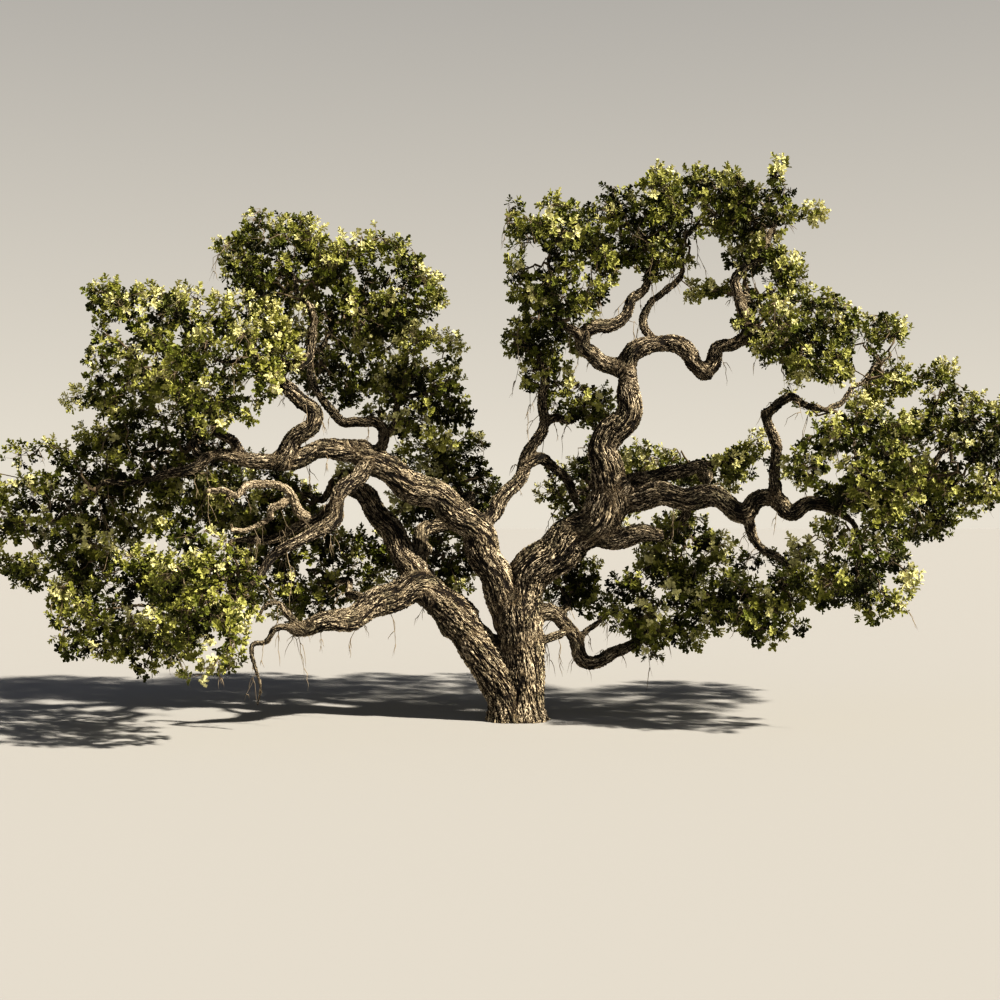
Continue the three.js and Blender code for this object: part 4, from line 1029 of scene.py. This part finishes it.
def twigMaterial(name, look):
    made, tree, shader = material(name, look["roughness"])
    place = tree.nodes.new("ShaderNodeTexCoord").outputs["Object"]
    mottle = noise(tree, place, look["mottle"])
    tree.links.new(ramp(tree, mottle, look["colours"]), shader.inputs["Base Color"])
    addBump(tree, shader, mottle, 1.0, look["bumpDepth"])
    return made


def addPlantPiece(piece):
    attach(piece, "root")
    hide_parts(*masses)


def addTubes(name, made, paths, radii, sides):
    mesh = tubesMesh(name, paths, radii, sides)
    mesh.materials.append(made)
    mesh.shade_smooth()
    addPlantPiece(objectOf(name, mesh))


twigLook = {
    "roughness": 0.9, "mottle": (22.0, 3.0, 0.6), "bumpDepth": 0.004,
    "colours": [(0.35, (0.03, 0.02, 0.012)), (0.68, (0.3, 0.235, 0.16))], "sides": 3, "branchSides": 6,
}
twigBark = twigMaterial("twigBark", twigLook)
addTubes("branches", twigBark, branches["paths"], branches["radii"], twigLook["branchSides"])
twigPaths = np.concatenate(twigPaths)
twigRadii = growth["twigRadius"] * np.array(growth["twigTaper"]) * np.ones((len(twigPaths), 1))
addTubes("twigs", twigBark, twigPaths, twigRadii, twigLook["sides"])
print("made the branches and twigs")

bareTwigs = {  # dead twigs that hang from the boughs and show between the leaves
    **twigLook, "colours": [(0.35, (0.1, 0.07, 0.045)), (0.68, (0.5, 0.42, 0.3))],
    "seed": 21, "spacing": 0.4, "onBranches": 0.35,  # metres of bough for each, share of branches with one
    "length": (0.3, 0.9), "steps": 5, "forks": 3, "forkLength": (0.25, 0.6), "radius": 0.009, "taper": 0.35,
    "out": 0.55, "droop": 0.75, "crook": 0.3, "forkTurn": 0.9,
    "fromShare": 0.2, "seat": 0.8,  # of a limb's length, where they begin, and of its radius, where they sit
    "boughs": [
        "bough_left_low", "bough_left_drop", "bough_left_under", "bough_left_reach", "bough_left_crook",
        "bough_left_pale", "bough_left_hook", "bough_centre", "bough_low", "bough_right_reach",
        "bough_right_drop", "bough_right_spur", "bough_right_shelf", "bough_right_swing",
        "bough_right_crown", "bough_right_fork",
    ],
}


def bareTwig(random, foot, way):  # a crooked twig and its forks
    share = np.linspace(0, 1, bareTwigs["steps"])[:, None]

    def strand(start, heading, length):
        sag = [0, 0, bareTwigs["droop"]] * share ** 1.5
        path = start + length * (bareTwigs["out"] * share * heading - sag)
        crooks = np.cumsum(random.normal(size=(len(path) - 1, 3)), 0) * bareTwigs["crook"] * length
        path[1:] += crooks / bareTwigs["steps"]
        return path

    length = random.uniform(*bareTwigs["length"])
    paths = [strand(foot, way, length)]
    for _ in range(bareTwigs["forks"]):
        start = paths[0][random.integers(1, bareTwigs["steps"] - 1)]
        turned = unit(way + random.normal(size=3) * bareTwigs["forkTurn"])
        paths.append(strand(start, turned, length * random.uniform(*bareTwigs["forkLength"])))
    return paths


random = np.random.default_rng(bareTwigs["seed"])
sites = []
for limb in limbs + deadLimbs:
    if limb["name"] in bareTwigs["boughs"]:
        every = int(bareTwigs["spacing"] / bark["spacing"])
        for at in range(int(bareTwigs["fromShare"] * len(limb["points"])), len(limb["points"]), every):
            angle = random.uniform(0, 2 * np.pi)
            way = np.cos(angle) * limb["sides"][at] + np.sin(angle) * limb["overs"][at]
            seat = way * limb["radius"][at] * limb["rounding"][at] * bareTwigs["seat"]
            sites.append((limb["points"][at] + seat, way))
for path in branches["paths"]:
    if random.random() < bareTwigs["onBranches"]:
        sites.append((path[random.integers(3, growth["branchSteps"])], unit(random.normal(size=3))))
paths = []
for foot, way in sites:
    twig = bareTwig(random, foot, way)
    if inRoom(np.vstack(twig)).all():
        paths += twig
taper = np.linspace(1, bareTwigs["taper"], bareTwigs["steps"])
radii = bareTwigs["radius"] * taper * np.ones((len(paths), 1))
addTubes("bare_twigs", twigMaterial("bareTwig", bareTwigs), paths, radii, bareTwigs["sides"])
print(f"hung {len(paths)} bare twigs")

leaf = {
    "perSpray": 9, "variants": 6, "length": (0.09, 0.132), "seed": 11, "fold": 0.3, "droop": 0.22,
    "span": 0.12,  # how much of a twig's end the leaves stand on
    "lean": (1.35, 0.35),  # how far the lowest and the topmost leaf lean out from the twig, in radians
    "turnStray": 0.3, "leanStray": 0.2, "faceOut": 0.6, "faceStray": 0.25,  # how leaves turn their faces
    "topSmaller": 0.25,
    "outline": [(0.34, 0.31), (0.5, 0.17), (0.74, 0.36)],  # a side's lobes and bay, from foot to tip
    "roughness": 0.55, "gloss": 0.3,
    "paintedLightTints": {  # painted light: from the sunlit outside of the crown to its shaded inside, the share of the sprays and their colour; the palest tints are painted sunlight and the darkest painted shade, partly real sun and shade leaves
        "leaves_pale": (0.11, (0.6, 0.58, 0.31)),
        "leaves_bright": (0.15, (0.37, 0.37, 0.125)),
        "leaves_olive": (0.2, (0.22, 0.225, 0.052)),
        "leaves_green": (0.2, (0.125, 0.14, 0.024)),
        "leaves_deep": (0.18, (0.052, 0.06, 0.009)),
        "leaves_dark": (0.16, (0.019, 0.022, 0.003)),
    },
}


def leafShape():  # a lobed leaf of length 1, folded along its midrib, from its foot at the origin along +X
    side = np.array(leaf["outline"])
    right = np.stack([side[:, 0], side[:, 1], side[:, 1] * leaf["fold"] - side[:, 0] ** 2 * leaf["droop"]], 1)
    verts = np.vstack([[0, 0, 0], right, [1, 0, -leaf["droop"]], right * [1, -1, 1]])
    return verts, [[0, 2, 1], [0, 4, 2], [4, 3, 2], [0, 5, 6], [0, 6, 4], [4, 6, 7]]


def sprayMesh(name, random):  # leaves all round the end of a twig, which points along +Z
    shape, triangles = leafShape()
    verts, faces = [], []
    up = np.array([0, 0, 1])
    low, high = leaf["lean"]
    for index in range(leaf["perSpray"]):
        share = index / (leaf["perSpray"] - 1)
        turn = index * goldenAngle + random.normal() * leaf["turnStray"]
        lean = low + (high - low) * share + random.normal() * leaf["leanStray"]
        around = np.array([np.cos(turn), np.sin(turn), 0])
        heading = np.sin(lean) * around + np.cos(lean) * up
        face = unit(up - leaf["faceOut"] * around + random.normal(size=3) * leaf["faceStray"])
        across = unit(np.cross(face, heading))
        length = random.uniform(*leaf["length"]) * (1 - leaf["topSmaller"] * share)
        foot = -leaf["span"] * (1 - share) * up
        faces += [[corner + len(shape) * index for corner in triangle] for triangle in triangles]
        verts.append(foot + shape * length @ np.stack([heading, across, np.cross(heading, across)]))
    return meshOf(name, np.vstack(verts), faces)


def sprayTree():
    tree, start = newTree("leafSprays", {"Sprays": "Collection", "Size": "Float", "Seed": "Int"})
    shapes = addNode(tree, "GeometryNodeCollectionInfo", start.outputs["Sprays"], True, True)
    which, spin = (addNode(tree, "FunctionNodeRandomValue", data_type=kind) for kind in ("INT", "FLOAT"))
    for node, least, most in ((which, 0, leaf["variants"] - 1), (spin, 0.0, 6.28)):
        inputs = {socket.name: socket for socket in node.inputs if socket.enabled}
        inputs["Min"].default_value = least
        inputs["Max"].default_value = most
        tree.links.new(start.outputs["Seed"], inputs["Seed"])
    aimed = addNode(tree, "FunctionNodeAlignRotationToVector", axis="Z")
    tree.links.new(attribute(tree, "heading", "FLOAT_VECTOR"), aimed.inputs["Vector"])
    spun = addNode(tree, "FunctionNodeAxisAngleToRotation", (0, 0, 1), outOf(spin))
    both = addNode(
        tree, "FunctionNodeRotateRotation", aimed.outputs[0], spun.outputs[0], rotation_space="LOCAL",
    )
    scale = mathOf(tree, "MULTIPLY", attribute(tree, "size"), start.outputs["Size"])
    placed = tree.nodes.new("GeometryNodeInstanceOnPoints")
    placed.inputs["Pick Instance"].default_value = True
    for label, value in (
        ("Points", start.outputs["Geometry"]), ("Instance", shapes.outputs[0]),
        ("Instance Index", outOf(which)), ("Rotation", both.outputs[0]), ("Scale", scale),
    ):
        tree.links.new(value, placed.inputs[label])
    return finishTree(tree, start, placed.outputs[0])


sprayShapes = bpy.data.collections.new("sprayShapes")
random = np.random.default_rng(leaf["seed"])
for number in range(leaf["variants"]):
    name = f"spray{number}"
    sprayShapes.objects.link(bpy.data.objects.new(name, sprayMesh(name, random)))
# the sprays ranked lightest take the palest tint and the lowest the darkest: painted light and shade
ranks = sprays["light"].argsort()[::-1]
shares, colours = zip(*leaf["paintedLightTints"].values())
cuts = (np.cumsum(shares)[:-1] * len(ranks)).astype(int)
for order, (name, colour, some) in enumerate(zip(leaf["paintedLightTints"], colours, np.split(ranks, cuts))):
    made, tree, shader = material(name.replace("leaves", "leaf"), leaf["roughness"])
    shader.inputs["Base Color"].default_value = (*colour, 1)
    shader.inputs["Specular IOR Level"].default_value = leaf["gloss"]
    mesh = meshOf(name, sprays["at"][some], [])
    store(mesh, "heading", sprays["heading"][some])
    store(mesh, "size", sprays["size"][some])
    piece = runTree(objectOf(name, mesh), sprayTree(), {
        "Sprays": sprayShapes, "Size": 1.0, "Seed": order, "Material": made,
    })
    addPlantPiece(piece)
    print(f"{name}: {len(piece.data.polygons)} faces")
for shape in list(sprayShapes.objects):
    bpy.data.objects.remove(shape)
bpy.data.collections.remove(sprayShapes)

stage = {
    "floor": 400, "floorColour": (0.38, 0.375, 0.37),
    "horizon": (0.585, 0.55, 0.485), "overhead": (0.06, 0.075, 0.11), "horizonHeight": 0.75,
    "sun": 6.6, "sunColour": (1.0, 0.93, 0.8), "sunWidth": 0.04, "sunFrom": (0.82, -0.42, 0.78),
}
side = stage["floor"] / 2
corners = [(-side, -side, 0), (side, -side, 0), (side, side, 0), (-side, side, 0)]
floor = objectOf("floor", meshOf("floor", corners, [(0, 1, 2, 3)]))
made, tree, shader = material("paleFloor", 0.9)
shader.inputs["Base Color"].default_value = (*stage["floorColour"], 1)
shader.inputs["Specular IOR Level"].default_value = 0
floor.data.materials.append(made)
sun = objectOf("sun", bpy.data.lights.new("sun", "SUN"))
sun.data.energy = stage["sun"]
sun.data.color = stage["sunColour"]
sun.data.angle = stage["sunWidth"]
sun.rotation_euler = Vector(stage["sunFrom"]).to_track_quat("Z", "Y").to_euler()
world = bpy.data.worlds.new("softSky")
world.use_nodes = True
tree = world.node_tree
direction = tree.nodes.new("ShaderNodeTexCoord").outputs["Generated"]
height = addNode(tree, "ShaderNodeSeparateXYZ", direction).outputs["Z"]
height = addNode(tree, "ShaderNodeMapRange", height, 0.0, stage["horizonHeight"]).outputs[0]
sky = mixColour(tree, "MIX", height, stage["horizon"], stage["overhead"])
tree.links.new(sky, tree.nodes["Background"].inputs["Color"])
bpy.context.scene.world = world
camera = objectOf("camera", bpy.data.cameras.new("camera"))
camera.data.lens = eye["lens"]
camera.data.sensor_width = 36
camera.data.clip_end = 1000
camera.location = (eye["across"], -eye["distance"], eye["height"])
camera.rotation_euler = (np.pi / 2, 0, 0)
bpy.context.scene.camera = camera
bpy.context.scene.view_settings.view_transform = "Standard"
bpy.context.scene.view_settings.look = "High Contrast"
print("set the stage")
